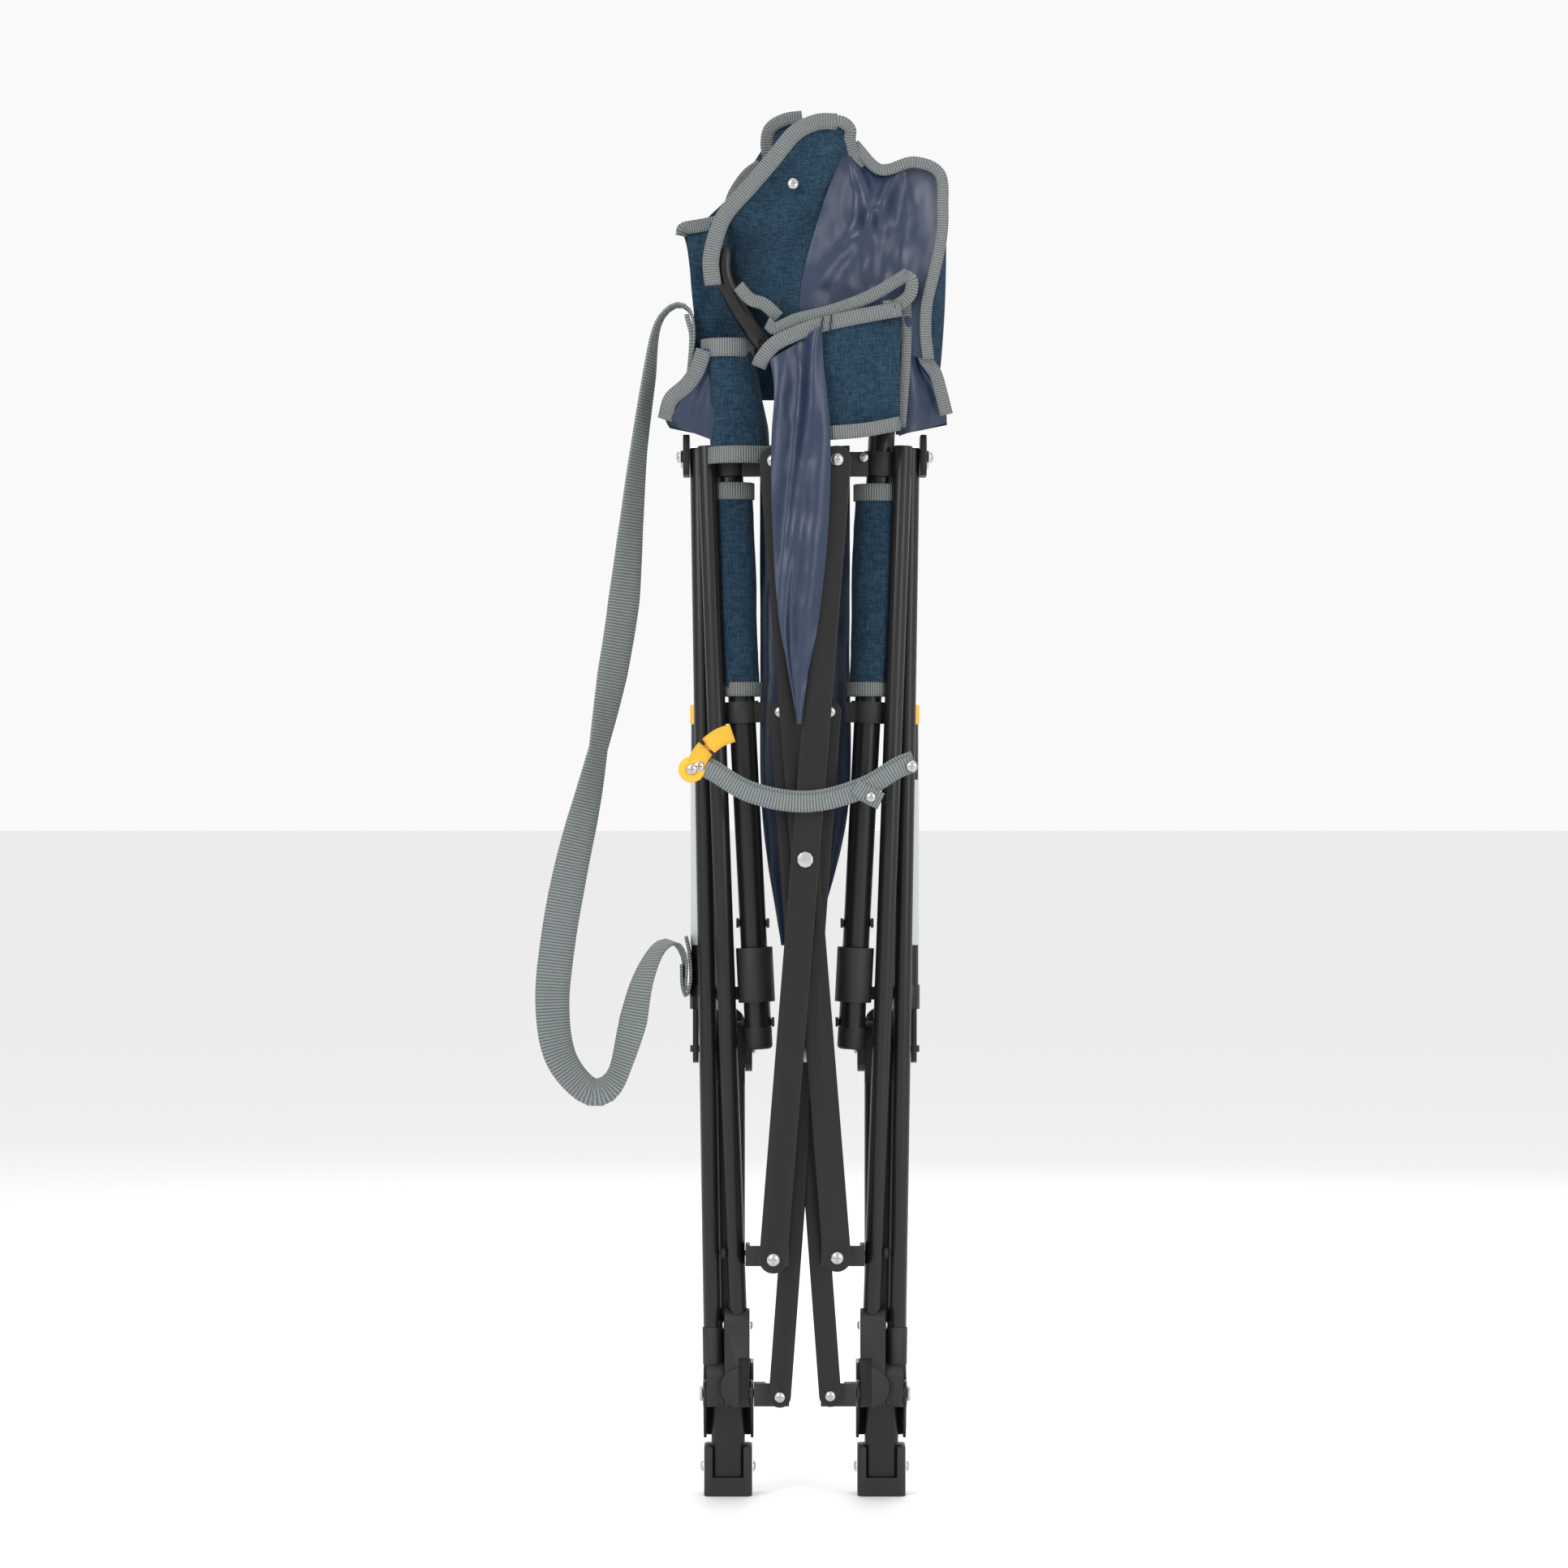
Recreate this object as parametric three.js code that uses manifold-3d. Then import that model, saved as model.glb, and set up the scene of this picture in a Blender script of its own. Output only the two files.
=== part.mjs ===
// Folding rocking camp chair, shown folded and standing on its four feet.
// Millimetres, +Z up, -Y is the front. The origin is on the floor, between the feet.
// Every side piece is made twice: s is -1 for the left side and +1 for the right.
import * as THREE from 'three';
import { mergeVertices } from 'three/addons/utils/BufferGeometryUtils.js';
import Module from 'manifold-3d';

const wasm = await Module();
wasm.setup();

// ---------- driving dimensions ----------
const GAP = 0.3; // running and seating clearance between touching pieces

const RAIL = 23.5; // square base rail, outside
const RAIL_WALL = 1.5;
const RAIL_X = 53.8; // centre of the rail from the mid plane
const RAIL_TOP = 300;
const RAIL_BOTTOM = 7;

const HUB = { y: 8, z: 74 }; // front hinge: both legs and the rail turn about it
const RAIL_SETBACK = 28; // the rail's centre behind the front hinge
const REAR = { y: HUB.y + RAIL_SETBACK, z: 313 }; // rear hinge: rail to gas strut
const STRUT_TOP_Z = 729; // upper end of the gas strut, on the rear leg

const LEG_R = 6.5; // both legs, outside radius
const LEG_WALL = 1.2;
const LEG_TOP_Z = 734;
const FRONT_LEG = { x0: 46.5, y0: 6, z0: 118, x1: 68.3, y1: -2 };
const REAR_LEG = { x0: 63.9, y0: 10, z0: 94.5, x1: 74, y1: 20 };

const POST_R = 9.25; // back post that slides in the ring
const POST_WALL = 1.5;
const POST = { x0: 32, y: 10, z0: 316, x1: 57, z1: 808 };

const CYLINDER_R = 8; // gas strut
const CYLINDER_WALL = 1.5;
const CYLINDER_X = 72;
const CYLINDER_TOP = 541;
const CYLINDER_BOTTOM = 345;
const CAP_HEIGHT = 13.7;
const ROD_R = 2.6;

const RING_R = 13; // slide ring round the back post
const RING_Z = [347, 385];
const PIN_Z = [333, 402]; // stop pins under and over the ring
const CLAMP_R = 12; // post clamps and lower cloth sleeves, outside

const X1 = { lowZ: 172, highZ: 722, x: 22, width: 19.5, thick: 12, frontY: -37, rearY: -24 };
const X2 = { lowZ: HUB.z, highZ: 549, x: 17.5, width: 15.5, thick: 4.5, frontY: -10.6, rearY: -5.6 };

const SLEEVE_Z = 751; // lower hem of the upper sleeves
const CLOTH_TOP = 965;
const SIDES = 14; // facets round the larger tubes
const STRAP = { width: 25, thick: 2 };

// ---------- materials ----------
const finish = (color, roughness, metalness) =>
  new THREE.MeshStandardMaterial({ color, roughness, metalness });
const steel = finish(0x2c2c2f, 0.35, 0.5);
const plastic = finish(0x383a39, 0.6, 0.0);
const zinc = finish(0xb8b8b8, 0.3, 0.9);
const chrome = finish(0xd8d8dc, 0.1, 1.0);
const yellow = finish(0xf6b81e, 0.5, 0.0);
const navyCloth = finish(0x2e4a63, 0.9, 0.0);
const webbing = finish(0x8c9393, 0.9, 0.0);

// ---------- helpers ----------
const chair = new THREE.Group();

// Turns a closed three.js geometry into a manifold solid.
function solid(geometry) {
  const bare = new THREE.BufferGeometry();
  bare.setAttribute('position', geometry.getAttribute('position').clone());
  if (geometry.index) bare.setIndex(geometry.index.clone());
  const g = mergeVertices(bare, 1e-4);
  return new wasm.Manifold(new wasm.Mesh({
    numProp: 3,
    vertProperties: new Float32Array(g.getAttribute('position').array),
    triVerts: new Uint32Array(g.index.array),
  }));
}

// Adds one named piece to the chair.
function add(name, body, material) {
  const m = body.getMesh();
  const g = new THREE.BufferGeometry();
  g.setAttribute('position', new THREE.BufferAttribute(new Float32Array(m.vertProperties), 3));
  g.setIndex(new THREE.BufferAttribute(new Uint32Array(m.triVerts), 1));
  g.computeVertexNormals();
  const mesh = new THREE.Mesh(g, material);
  mesh.name = name;
  chair.add(mesh);
}

function box(xs, ys, zs) {
  const [x0, x1] = [Math.min(...xs), Math.max(...xs)];
  const g = new THREE.BoxGeometry(x1 - x0, ys[1] - ys[0], zs[1] - zs[0]);
  g.translate((x0 + x1) / 2, (ys[0] + ys[1]) / 2, (zs[0] + zs[1]) / 2);
  return solid(g);
}

// A round bar from a to b.
function bar(a, b, r, sides = 10) {
  const [p, q] = [new THREE.Vector3(...a), new THREE.Vector3(...b)];
  const g = new THREE.CylinderGeometry(r, r, p.distanceTo(q), sides);
  const up = new THREE.Vector3(0, 1, 0);
  g.applyQuaternion(new THREE.Quaternion().setFromUnitVectors(up, q.clone().sub(p).normalize()));
  g.translate(...p.add(q).multiplyScalar(0.5).toArray());
  return solid(g);
}

// An outline in (y, z), extruded along X from x0 to x1.
function plateX(shape, x0, x1, curveSegments = 4) {
  const [lo, hi] = [Math.min(x0, x1), Math.max(x0, x1)];
  const g = new THREE.ExtrudeGeometry(shape, { depth: hi - lo, bevelEnabled: false, curveSegments });
  g.applyMatrix4(new THREE.Matrix4().makeBasis(
    new THREE.Vector3(0, 1, 0), new THREE.Vector3(0, 0, 1), new THREE.Vector3(1, 0, 0)));
  g.translate(lo, 0, 0);
  return solid(g);
}

// An outline in (x, z), extruded along Y from y0 to y1.
function plateY(shape, y0, y1, curveSegments = 4) {
  const g = new THREE.ExtrudeGeometry(shape, { depth: y1 - y0, bevelEnabled: false, curveSegments });
  g.applyMatrix4(new THREE.Matrix4().makeBasis(
    new THREE.Vector3(1, 0, 0), new THREE.Vector3(0, 0, 1), new THREE.Vector3(0, -1, 0)));
  g.translate(0, y1, 0);
  return solid(g);
}

// A rectangle with round corners, centred on (cx, cy).
function roundRect(cx, cy, w, h, r) {
  const s = new THREE.Shape();
  const [x, y] = [w / 2 - r, h / 2 - r];
  s.absarc(cx + x, cy + y, r, 0, Math.PI / 2);
  s.absarc(cx - x, cy + y, r, Math.PI / 2, Math.PI);
  s.absarc(cx - x, cy - y, r, Math.PI, Math.PI * 1.5);
  s.absarc(cx + x, cy - y, r, Math.PI * 1.5, Math.PI * 2);
  return s;
}

// A block with round vertical edges, made from an (x, y) outline.
function column(cx, cy, w, d, r, z0, z1) {
  const g = new THREE.ExtrudeGeometry(roundRect(cx, cy, w, d, r),
    { depth: z1 - z0, bevelEnabled: false, curveSegments: 2 });
  g.translate(0, 0, z0);
  return solid(g);
}

const lerp = (a, b, t) => a + (b - a) * t;
const postX = (z) => lerp(POST.x0, POST.x1, (z - POST.z0) / (POST.z1 - POST.z0));
const frontLegAt = (z) => {
  const t = (z - FRONT_LEG.z0) / (LEG_TOP_Z - FRONT_LEG.z0);
  return { x: lerp(FRONT_LEG.x0, FRONT_LEG.x1, t), y: lerp(FRONT_LEG.y0, FRONT_LEG.y1, t) };
};

// A round tube from a to b: the bore runs right through.
function tube(a, b, r, wall, sides = SIDES) {
  const dir = new THREE.Vector3(...b).sub(new THREE.Vector3(...a)).normalize();
  const over = (p, k) => new THREE.Vector3(...p).addScaledVector(dir, k).toArray();
  return bar(a, b, r, sides).subtract(bar(over(a, -1), over(b, 1), r - wall, sides));
}

// ---------- rail side: foot, rail, hub bracket, rear boot ----------
function makeRail(s, name) {
  const boot = { w: 33.6, d: 30, h: 34.7 };
  const railHole = box([s * (RAIL_X - RAIL / 2 - GAP), s * (RAIL_X + RAIL / 2 + GAP)],
    [REAR.y - RAIL / 2 - GAP, REAR.y + RAIL / 2 + GAP], [RAIL_BOTTOM - GAP, RAIL_TOP + GAP]);
  const window = box([s * (RAIL_X - RAIL / 2 + 1), s * (RAIL_X + RAIL / 2 - 1)],
    [REAR.y - boot.d, REAR.y], [RAIL_BOTTOM + 6, boot.h + 1]);
  add(`${name}_foot_boot`, column(s * RAIL_X, REAR.y, boot.w, boot.d, 4, 0, boot.h)
    .subtract(railHole).subtract(window), plastic);

  const hollow = RAIL - 2 * RAIL_WALL;
  add(`${name}_base_rail`, column(s * RAIL_X, REAR.y, RAIL, RAIL, 4, RAIL_BOTTOM, RAIL_TOP)
    .subtract(column(s * RAIL_X, REAR.y, hollow, hollow, 2.5, RAIL_BOTTOM - 1, RAIL_TOP + 1)), steel);

  // Hub bracket: a web behind the rail and two cheeks that reach forward to the hub pin.
  const [inner, outer, sheet] = [36, 71, 2];
  const back = REAR.y + RAIL / 2 + 0.8;
  const cheek = new THREE.Shape();
  cheek.moveTo(back + sheet, HUB.z + 19.5);
  cheek.lineTo(REAR.y - RAIL / 2, HUB.z + 19.5);
  cheek.lineTo(HUB.y + 4, HUB.z + 8.6);
  cheek.absarc(HUB.y, HUB.z, 9.5, 1.13, -1.0 + Math.PI * 2, false);
  cheek.lineTo(REAR.y - RAIL / 2, HUB.z - 26);
  cheek.lineTo(REAR.y - 4, HUB.z - 34);
  cheek.lineTo(back + sheet, HUB.z - 34);
  cheek.closePath();
  const pinHole = bar([s * 20, HUB.y, HUB.z], [s * 80, HUB.y, HUB.z], 3 + GAP);
  add(`${name}_hub_bracket`, plateX(cheek, s * inner, s * (inner + sheet))
    .add(plateX(cheek, s * outer, s * (outer - sheet)))
    .add(box([s * inner, s * outer], [back, back + sheet], [HUB.z - 34, HUB.z + 19.5]))
    .subtract(pinHole), steel);

  // Rear boot: holds the rail's end and the rear hinge.
  const half = RAIL / 2 + 1.75;
  const profile = roundRect(REAR.y, REAR.z - 2.5, 2 * half, 45, 5);
  const tab = roundRect(s * 54.2, 331, 24, 22, 10.9);
  const cheekDisc = bar([s * 37, REAR.y, REAR.z], [s * 42.5, REAR.y, REAR.z], 16, SIDES);
  const rearPinHole = bar([s * 30, REAR.y, REAR.z], [s * 80, REAR.y, REAR.z], 2.5 + GAP);
  add(`${name}_rear_boot`, plateX(profile, s * 42.1, s * 71.4).add(cheekDisc)
    .add(plateY(tab, REAR.y - 6, REAR.y + 6))
    .subtract(railHole).subtract(rearPinHole), plastic);
}

// ---------- upright side: rear leg, hub pin, strut plate ----------
function makeUpright(s, name) {
  const head = (x0, x1, r) => bar([s * x0, HUB.y, HUB.z], [s * x1, HUB.y, HUB.z], r, 10);
  add(`${name}_hub_pin`, head(25.4, 73.4, 3).add(head(71.4, 73.4, 5.5)).add(head(25.2, 26.8, 4.6)), zinc);

  const foot = [s * REAR_LEG.x0, REAR_LEG.y0, REAR_LEG.z0];
  const top = [s * REAR_LEG.x1, REAR_LEG.y1, LEG_TOP_Z];
  add(`${name}_rear_leg`, tube(foot, top, LEG_R, LEG_WALL), steel);

  const pinHole = head(20, 80, 3 + GAP);
  const legHole = bar(foot, top, LEG_R + GAP, SIDES);
  const lug = roundRect(HUB.y, HUB.z + 6, 19, 31, 9.4);
  add(`${name}_rear_leg_boot`, plateX(lug, s * 56.4, s * 68.6)
    .add(bar([s * 64, 9.9, 94.3], [s * 64.4, 10.4, 120], LEG_R + 0.8, SIDES))
    .subtract(pinHole).subtract(legHole), plastic);

  const plate = roundRect(29, STRUT_TOP_Z, 32, 29, 6);
  const plateIn = REAR_LEG.x1 + LEG_R + GAP;
  add(`${name}_strut_plate`, plateX(plate, s * plateIn, s * (plateIn + 4.4))
    .add(bar([s * (plateIn + 4), REAR.y, STRUT_TOP_Z], [s * (plateIn + 6.5), REAR.y, STRUT_TOP_Z], 4.5)),
  plastic);
}

// ---------- front leg ----------
function makeFrontLeg(s, name) {
  const foot = [s * FRONT_LEG.x0, FRONT_LEG.y0, FRONT_LEG.z0];
  const top = [s * FRONT_LEG.x1, FRONT_LEG.y1, LEG_TOP_Z];
  const at = frontLegAt(X1.lowZ);
  const boltHole = bar([s * (at.x - 12), at.y, X1.lowZ], [s * (at.x + 12), at.y, X1.lowZ], 2 + GAP);
  add(`${name}_front_leg`, tube(foot, top, LEG_R, LEG_WALL).subtract(boltHole), steel);

  const pinHole = bar([s * 20, HUB.y, HUB.z], [s * 80, HUB.y, HUB.z], 3 + GAP);
  const legHole = bar(foot, top, LEG_R + GAP, SIDES);
  const body = roundRect(HUB.y - 1.2, HUB.z + 25, 20, 69, 9.9);
  // The round cover on the boot's front, cut back where the scissor's end passes.
  const cover = bar([s * 44.8, -6, 79.5], [s * 44.8, -2.2, 79.5], 14, 18);
  const relief = box([s * 20, s * 46.2], [-10, 1.6], [40, HUB.z + 26]);
  add(`${name}_front_boot`, plateX(body, s * 38.6, s * 56).add(cover)
    .subtract(relief).subtract(pinHole).subtract(legHole), plastic);
}

// ---------- gas strut, slide ring and back post ----------
function makeStrut(s, name) {
  const x = s * CYLINDER_X;
  const eye = roundRect(REAR.y, 324, 13, 42, 6);
  add(`${name}_gas_cylinder`, bar([x, REAR.y, CYLINDER_BOTTOM], [x, REAR.y, CYLINDER_TOP], CYLINDER_R, SIDES)
    .add(bar([x, REAR.y, 341], [x, REAR.y, 358], CYLINDER_R + 1, SIDES))
    .add(plateX(eye, s * 74.6, s * 78.6))
    .add(bar([s * 36, REAR.y, REAR.z], [s * 80.5, REAR.y, REAR.z], 2.5))
    .subtract(bar([x, REAR.y, 350], [x, REAR.y, CYLINDER_TOP + 1], CYLINDER_R - CYLINDER_WALL, SIDES)), steel);
  add(`${name}_cylinder_cap`,
    bar([x, REAR.y, CYLINDER_TOP + GAP], [x, REAR.y, CYLINDER_TOP + CAP_HEIGHT], CYLINDER_R + 0.8, SIDES)
      .subtract(bar([x, REAR.y, CYLINDER_TOP - 1], [x, REAR.y, CYLINDER_TOP + 20], ROD_R + GAP)), yellow);
  add(`${name}_piston_rod`, bar([x, REAR.y, 352], [x, REAR.y, STRUT_TOP_Z - 4], ROD_R)
    .add(bar([x, REAR.y, 351], [x, REAR.y, 355], CYLINDER_R - CYLINDER_WALL - GAP, SIDES))
    .add(bar([s * 69, REAR.y, STRUT_TOP_Z], [s * 80, REAR.y, STRUT_TOP_Z], 7)), chrome);

  const postHole = bar([s * POST.x0, POST.y, POST.z0], [s * POST.x1, POST.y, POST.z1], POST_R + GAP, SIDES);
  const ring = bar([s * postX(RING_Z[0]), POST.y, RING_Z[0]], [s * postX(RING_Z[1]), POST.y, RING_Z[1]], RING_R, SIDES);
  const armFront = POST.y + RING_R - 1.8;
  const armBack = REAR.y - CYLINDER_R - 1 - 0.4;
  add(`${name}_slide_ring`, ring
    .add(box([s * 35, s * 74], [armFront, armBack], [348, 357])).subtract(postHole), plastic);
}

function makePost(s, name) {
  const low = [s * POST.x0, POST.y, POST.z0];
  const high = [s * POST.x1, POST.y, POST.z1];
  const pins = PIN_Z.map((z) => (r, reach) =>
    bar([s * (postX(z) - reach), POST.y, z], [s * (postX(z) + reach), POST.y, z], r, 10));
  const holes = pins.map((pin) => pin(2.2 + GAP, 10));
  const cap = bar([s * (POST.x1 - 0.2), POST.y, POST.z1 - 4], [s * (POST.x1 + 0.4), POST.y, POST.z1 + 9],
    POST_R - 0.6, SIDES);
  add(`${name}_back_post`, tube(low, high, POST_R, POST_WALL, SIDES).add(cap)
    .subtract(holes[0]).subtract(holes[1]), steel);
  ['lower', 'upper'].forEach((which, i) => {
    const z = PIN_Z[i];
    const knob = (side) => bar([s * postX(z) + side * (POST_R + GAP), POST.y, z],
      [s * postX(z) + side * (POST_R + GAP + 2), POST.y, z], 3.4, 10);
    add(`${name}_stop_pin_${which}`, pins[i](2.2, POST_R + 1).add(knob(-1)).add(knob(1)), plastic);
  });

  // Clamps for the upper ends of the two scissors.
  const postHole = bar(low, high, POST_R + GAP, SIDES);
  const clamp = (z, h) => bar([s * postX(z - h / 2), POST.y, z - h / 2],
    [s * postX(z + h / 2), POST.y, z + h / 2], CLAMP_R, SIDES);
  add(`${name}_upper_clamp`, clamp(X1.highZ, 17)
    .add(box([s * 13, s * 44], [-3, 3], [X1.highZ - 9, X1.highZ + 8])).subtract(postHole), plastic);
  add(`${name}_lower_clamp`, clamp(X2.highZ, 15)
    .add(box([s * 28, s * 36], [2, 16], [X2.highZ - 7, X2.highZ + 7])).subtract(postHole), plastic);

  // Cloth sleeves on the post.
  const z0 = X2.highZ + 11;
  const z1 = X1.highZ - 13;
  add(`${name}_lower_sleeve`, bar([s * postX(z0), POST.y, z0], [s * postX(z1), POST.y, z1], CLAMP_R, SIDES)
    .subtract(postHole), navyCloth);
  add(`${name}_upper_sleeve`, column(s * 43.5, 2, 34, 26, 8, SLEEVE_Z, POST.z1 - 2)
    .add(bar([s * postX(SLEEVE_Z), POST.y, SLEEVE_Z], [s * postX(806), POST.y, 806], POST_R + 1, SIDES))
    .subtract(postHole), navyCloth);
}

// ---------- scissors ----------
// One bar from the low end at side s to the high end on the other side.
function scissorBar(x, s, y, spec) {
  const dx = -2 * s * x;
  const dz = spec.highZ - spec.lowZ;
  const length = Math.hypot(dx, dz);
  const outline = roundRect(0, length / 2, spec.width, length + spec.width, spec.width / 2 - 0.05);
  const g = new THREE.ExtrudeGeometry(outline, { depth: spec.thick, bevelEnabled: false, curveSegments: 4 });
  const up = new THREE.Vector3(dx, 0, dz).normalize();
  const side = new THREE.Vector3(up.z, 0, -up.x);
  g.applyMatrix4(new THREE.Matrix4().makeBasis(side, up, new THREE.Vector3().crossVectors(side, up)));
  const back = new THREE.Vector3().crossVectors(side, up).y * spec.thick;
  g.translate(s * x, y - back / 2, spec.lowZ);
  return solid(g);
}

function makeScissor(name, spec, behind, pinR) {
  const midZ = (spec.lowZ + spec.highZ) / 2;
  const pivot = (px, z, y0, y1, r = pinR) => bar([px, y0, z], [px, y1, z], r, 10);
  const t = spec.thick / 2;
  const rivetHole = pivot(0, midZ, spec.frontY - 20, spec.rearY + 20, 3 + GAP);
  add(`${name}_front_bar`, scissorBar(spec.x, -1, spec.frontY, spec)
    .add(pivot(-spec.x, spec.lowZ, spec.frontY - t - 1.6, behind)).subtract(rivetHole), steel);
  add(`${name}_rear_bar`, scissorBar(spec.x, 1, spec.rearY, spec)
    .subtract(rivetHole), steel);
  add(`${name}_rivet`, pivot(0, midZ, spec.frontY - t - 1, spec.rearY + t + 1, 3)
    .add(pivot(0, midZ, spec.frontY - t - 1.8, spec.frontY - t - GAP, 5.5))
    .add(pivot(0, midZ, spec.rearY + t + GAP, spec.rearY + t + 1.6, 5)), zinc);
}

function makeBrackets(s, name) {
  // X1: a bolt through the front leg carries an angle whose tongue lies behind the bars.
  const leg = frontLegAt(X1.lowZ);
  const inner = leg.x - LEG_R - 0.6;
  const tongueBack = X1.rearY + X1.thick / 2 + 3.6;
  const arm = roundRect((leg.y + 7.5 + tongueBack - 3) / 2, X1.lowZ, leg.y + 10.5 - tongueBack, 15, 7);
  const bolt = (x0, x1, r) => bar([s * x0, leg.y, X1.lowZ], [s * x1, leg.y, X1.lowZ], r, 10);
  add(`${name}_upper_bracket`, plateX(arm, s * (inner - 3), s * inner)
    .add(box([s * 11, s * inner], [tongueBack - 3, tongueBack], [X1.lowZ - 7, X1.lowZ + 7]))
    .add(bolt(inner - 4.5, leg.x + LEG_R + 3, 2)).add(bolt(inner - 5, inner - 2, 4))
    .add(bolt(leg.x + LEG_R + GAP + 0.2, leg.x + LEG_R + 3, 4)), plastic);

  // X2: an angle on the hub pin.
  const tongue2 = X2.rearY + X2.thick / 2 + 0.6;
  const lug = roundRect((HUB.y + 8 + tongue2) / 2, HUB.z, HUB.y + 8 - tongue2, 16, 7.5);
  const pinHole = bar([s * 20, HUB.y, HUB.z], [s * 80, HUB.y, HUB.z], 3 + GAP);
  add(`${name}_lower_bracket`, plateX(lug, s * 27.3, s * 35.6)
    .add(box([s * 11, s * 35.6], [tongue2, tongue2 + 3], [HUB.z - 8, HUB.z + 8]))
    .subtract(pinHole), plastic);
}

// ---------- cloth and straps ----------
// A flat ribbon along a list of points; flat = 'side' stands its width across Y.
function ribbon(points, width, thick, steps, upAxis) {
  const curve = new THREE.CatmullRomCurve3(points.map((p) => new THREE.Vector3(...p)), false, 'centripetal');
  const across = new THREE.Vector3(...upAxis);
  const ring = (k) => {
    const t = k / steps;
    const [c, tan] = [curve.getPointAt(t), curve.getTangentAt(t)];
    const n = new THREE.Vector3().crossVectors(tan, across).normalize().multiplyScalar(thick / 2);
    const w = across.clone().multiplyScalar(width / 2);
    return [[1, 1], [-1, 1], [-1, -1], [1, -1]].map(([i, j]) =>
      c.clone().addScaledVector(w, i).addScaledVector(n, j));
  };
  const [verts, faces] = [[], []];
  for (let k = 0; k <= steps; k += 1) ring(k).forEach((p) => verts.push(p.x, p.y, p.z));
  for (let k = 0; k < steps; k += 1) {
    for (let i = 0; i < 4; i += 1) {
      const [a, b] = [k * 4 + i, k * 4 + ((i + 1) % 4)];
      faces.push(a, b, b + 4, a, b + 4, a + 4);
    }
  }
  const e = steps * 4;
  faces.push(0, 2, 1, 0, 3, 2, e, e + 1, e + 2, e, e + 2, e + 3);
  const g = new THREE.BufferGeometry();
  g.setAttribute('position', new THREE.Float32BufferAttribute(verts, 3));
  g.setIndex(faces);
  return solid(g);
}

function makeCloth() {
  // The bunched backrest, above the post caps.
  const bunch = new THREE.Shape();
  bunch.moveTo(-82, 822);
  bunch.lineTo(-82, 868);
  bunch.quadraticCurveTo(-78, 895, -52, 912);
  bunch.quadraticCurveTo(-38, 958, -8, CLOTH_TOP);
  bunch.quadraticCurveTo(22, CLOTH_TOP, 34, 946);
  bunch.quadraticCurveTo(60, 925, 88, 922);
  bunch.quadraticCurveTo(97, 890, 95, 822);
  bunch.closePath();
  add('back_cloth', plateY(bunch, -12, 44, 6), navyCloth);

  add('centre_fold', plateY(roundRect(-4, 680, 30, 200, 10), 4, 18), navyCloth);
  add('seat_cloth', plateY(roundRect(0, 560, 62, 350, 10), 22, 34), navyCloth);
  [[-1, 'left'], [1, 'right']].forEach(([s, name]) => {
    add(`${name}_arm_cloth`, plateY(roundRect(s * 85, 773, 24, 54, 10), -14, 30), navyCloth);
  });

  // A short bent tube of the backrest frame, in front of the cloth.
  const bend = new THREE.CatmullRomCurve3([
    new THREE.Vector3(-55, -22, 872), new THREE.Vector3(-56, -22, 852),
    new THREE.Vector3(-48, -22, 833), new THREE.Vector3(-25, -22, 796)]);
  const section = new THREE.Shape().absarc(0, 0, 7, 0, Math.PI * 2);
  add('back_tube', solid(new THREE.ExtrudeGeometry(section,
    { steps: 14, curveSegments: 8, extrudePath: bend })), steel);

  const carry = [[-84, 4, 802], [-86, 4, 822], [-95, 4, 829], [-104, 4, 815], [-110, 4, 780],
    [-116, 4, 730], [-121, 4, 680], [-126, 4, 620], [-136, 4, 560], [-148, 4, 500], [-160, 4, 440],
    [-170, 4, 390], [-174, 4, 345], [-168, 4, 306], [-150, 4, 282], [-134, 4, 290], [-122, 6, 325],
    [-114, 12, 360], [-104, 22, 380], [-93, 32, 387], [-85, 36, 378], [-83.5, 36, 355]];
  add('carry_strap', ribbon(carry, STRAP.width, STRAP.thick, 44, [0, 1, 0]), webbing);

  const closure = [[-74, -49.5, 512], [-62, -50.5, 506], [-40, -50.5, 493], [-12, -50.5, 486], [14, -50.5, 487],
    [42, -50.5, 496], [62, -50.5, 508], [74, -49.5, 513]];
  add('closure_strap', ribbon(closure, 12, 2, 18, [0, 0, 1]), webbing);
}

[[-1, 'left'], [1, 'right']].forEach(([s, name]) => {
  makeRail(s, name);
  makeUpright(s, name);
  makeFrontLeg(s, name);
  makeStrut(s, name);
  makePost(s, name);
  makeBrackets(s, name);
});
makeScissor('upper', X1, X1.rearY + X1.thick / 2 - GAP, 5);
makeScissor('lower', X2, X2.rearY + X2.thick / 2 + GAP, 4);
makeCloth();

export default chair;
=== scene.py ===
# %% [markdown]
# # Folding camp chair, folded and standing
# The steel frame comes from the fixed frame: every tube and bracket already has its place.
# This script gives each piece its look. It starts with the camera and the straps, then makes the
# materials, then finishes the hard pieces, and ends with the cloth, which is most of what one sees.

# %% Load the frame
import math
import bmesh
import bpy
from mathutils import Matrix, Vector, noise


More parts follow.
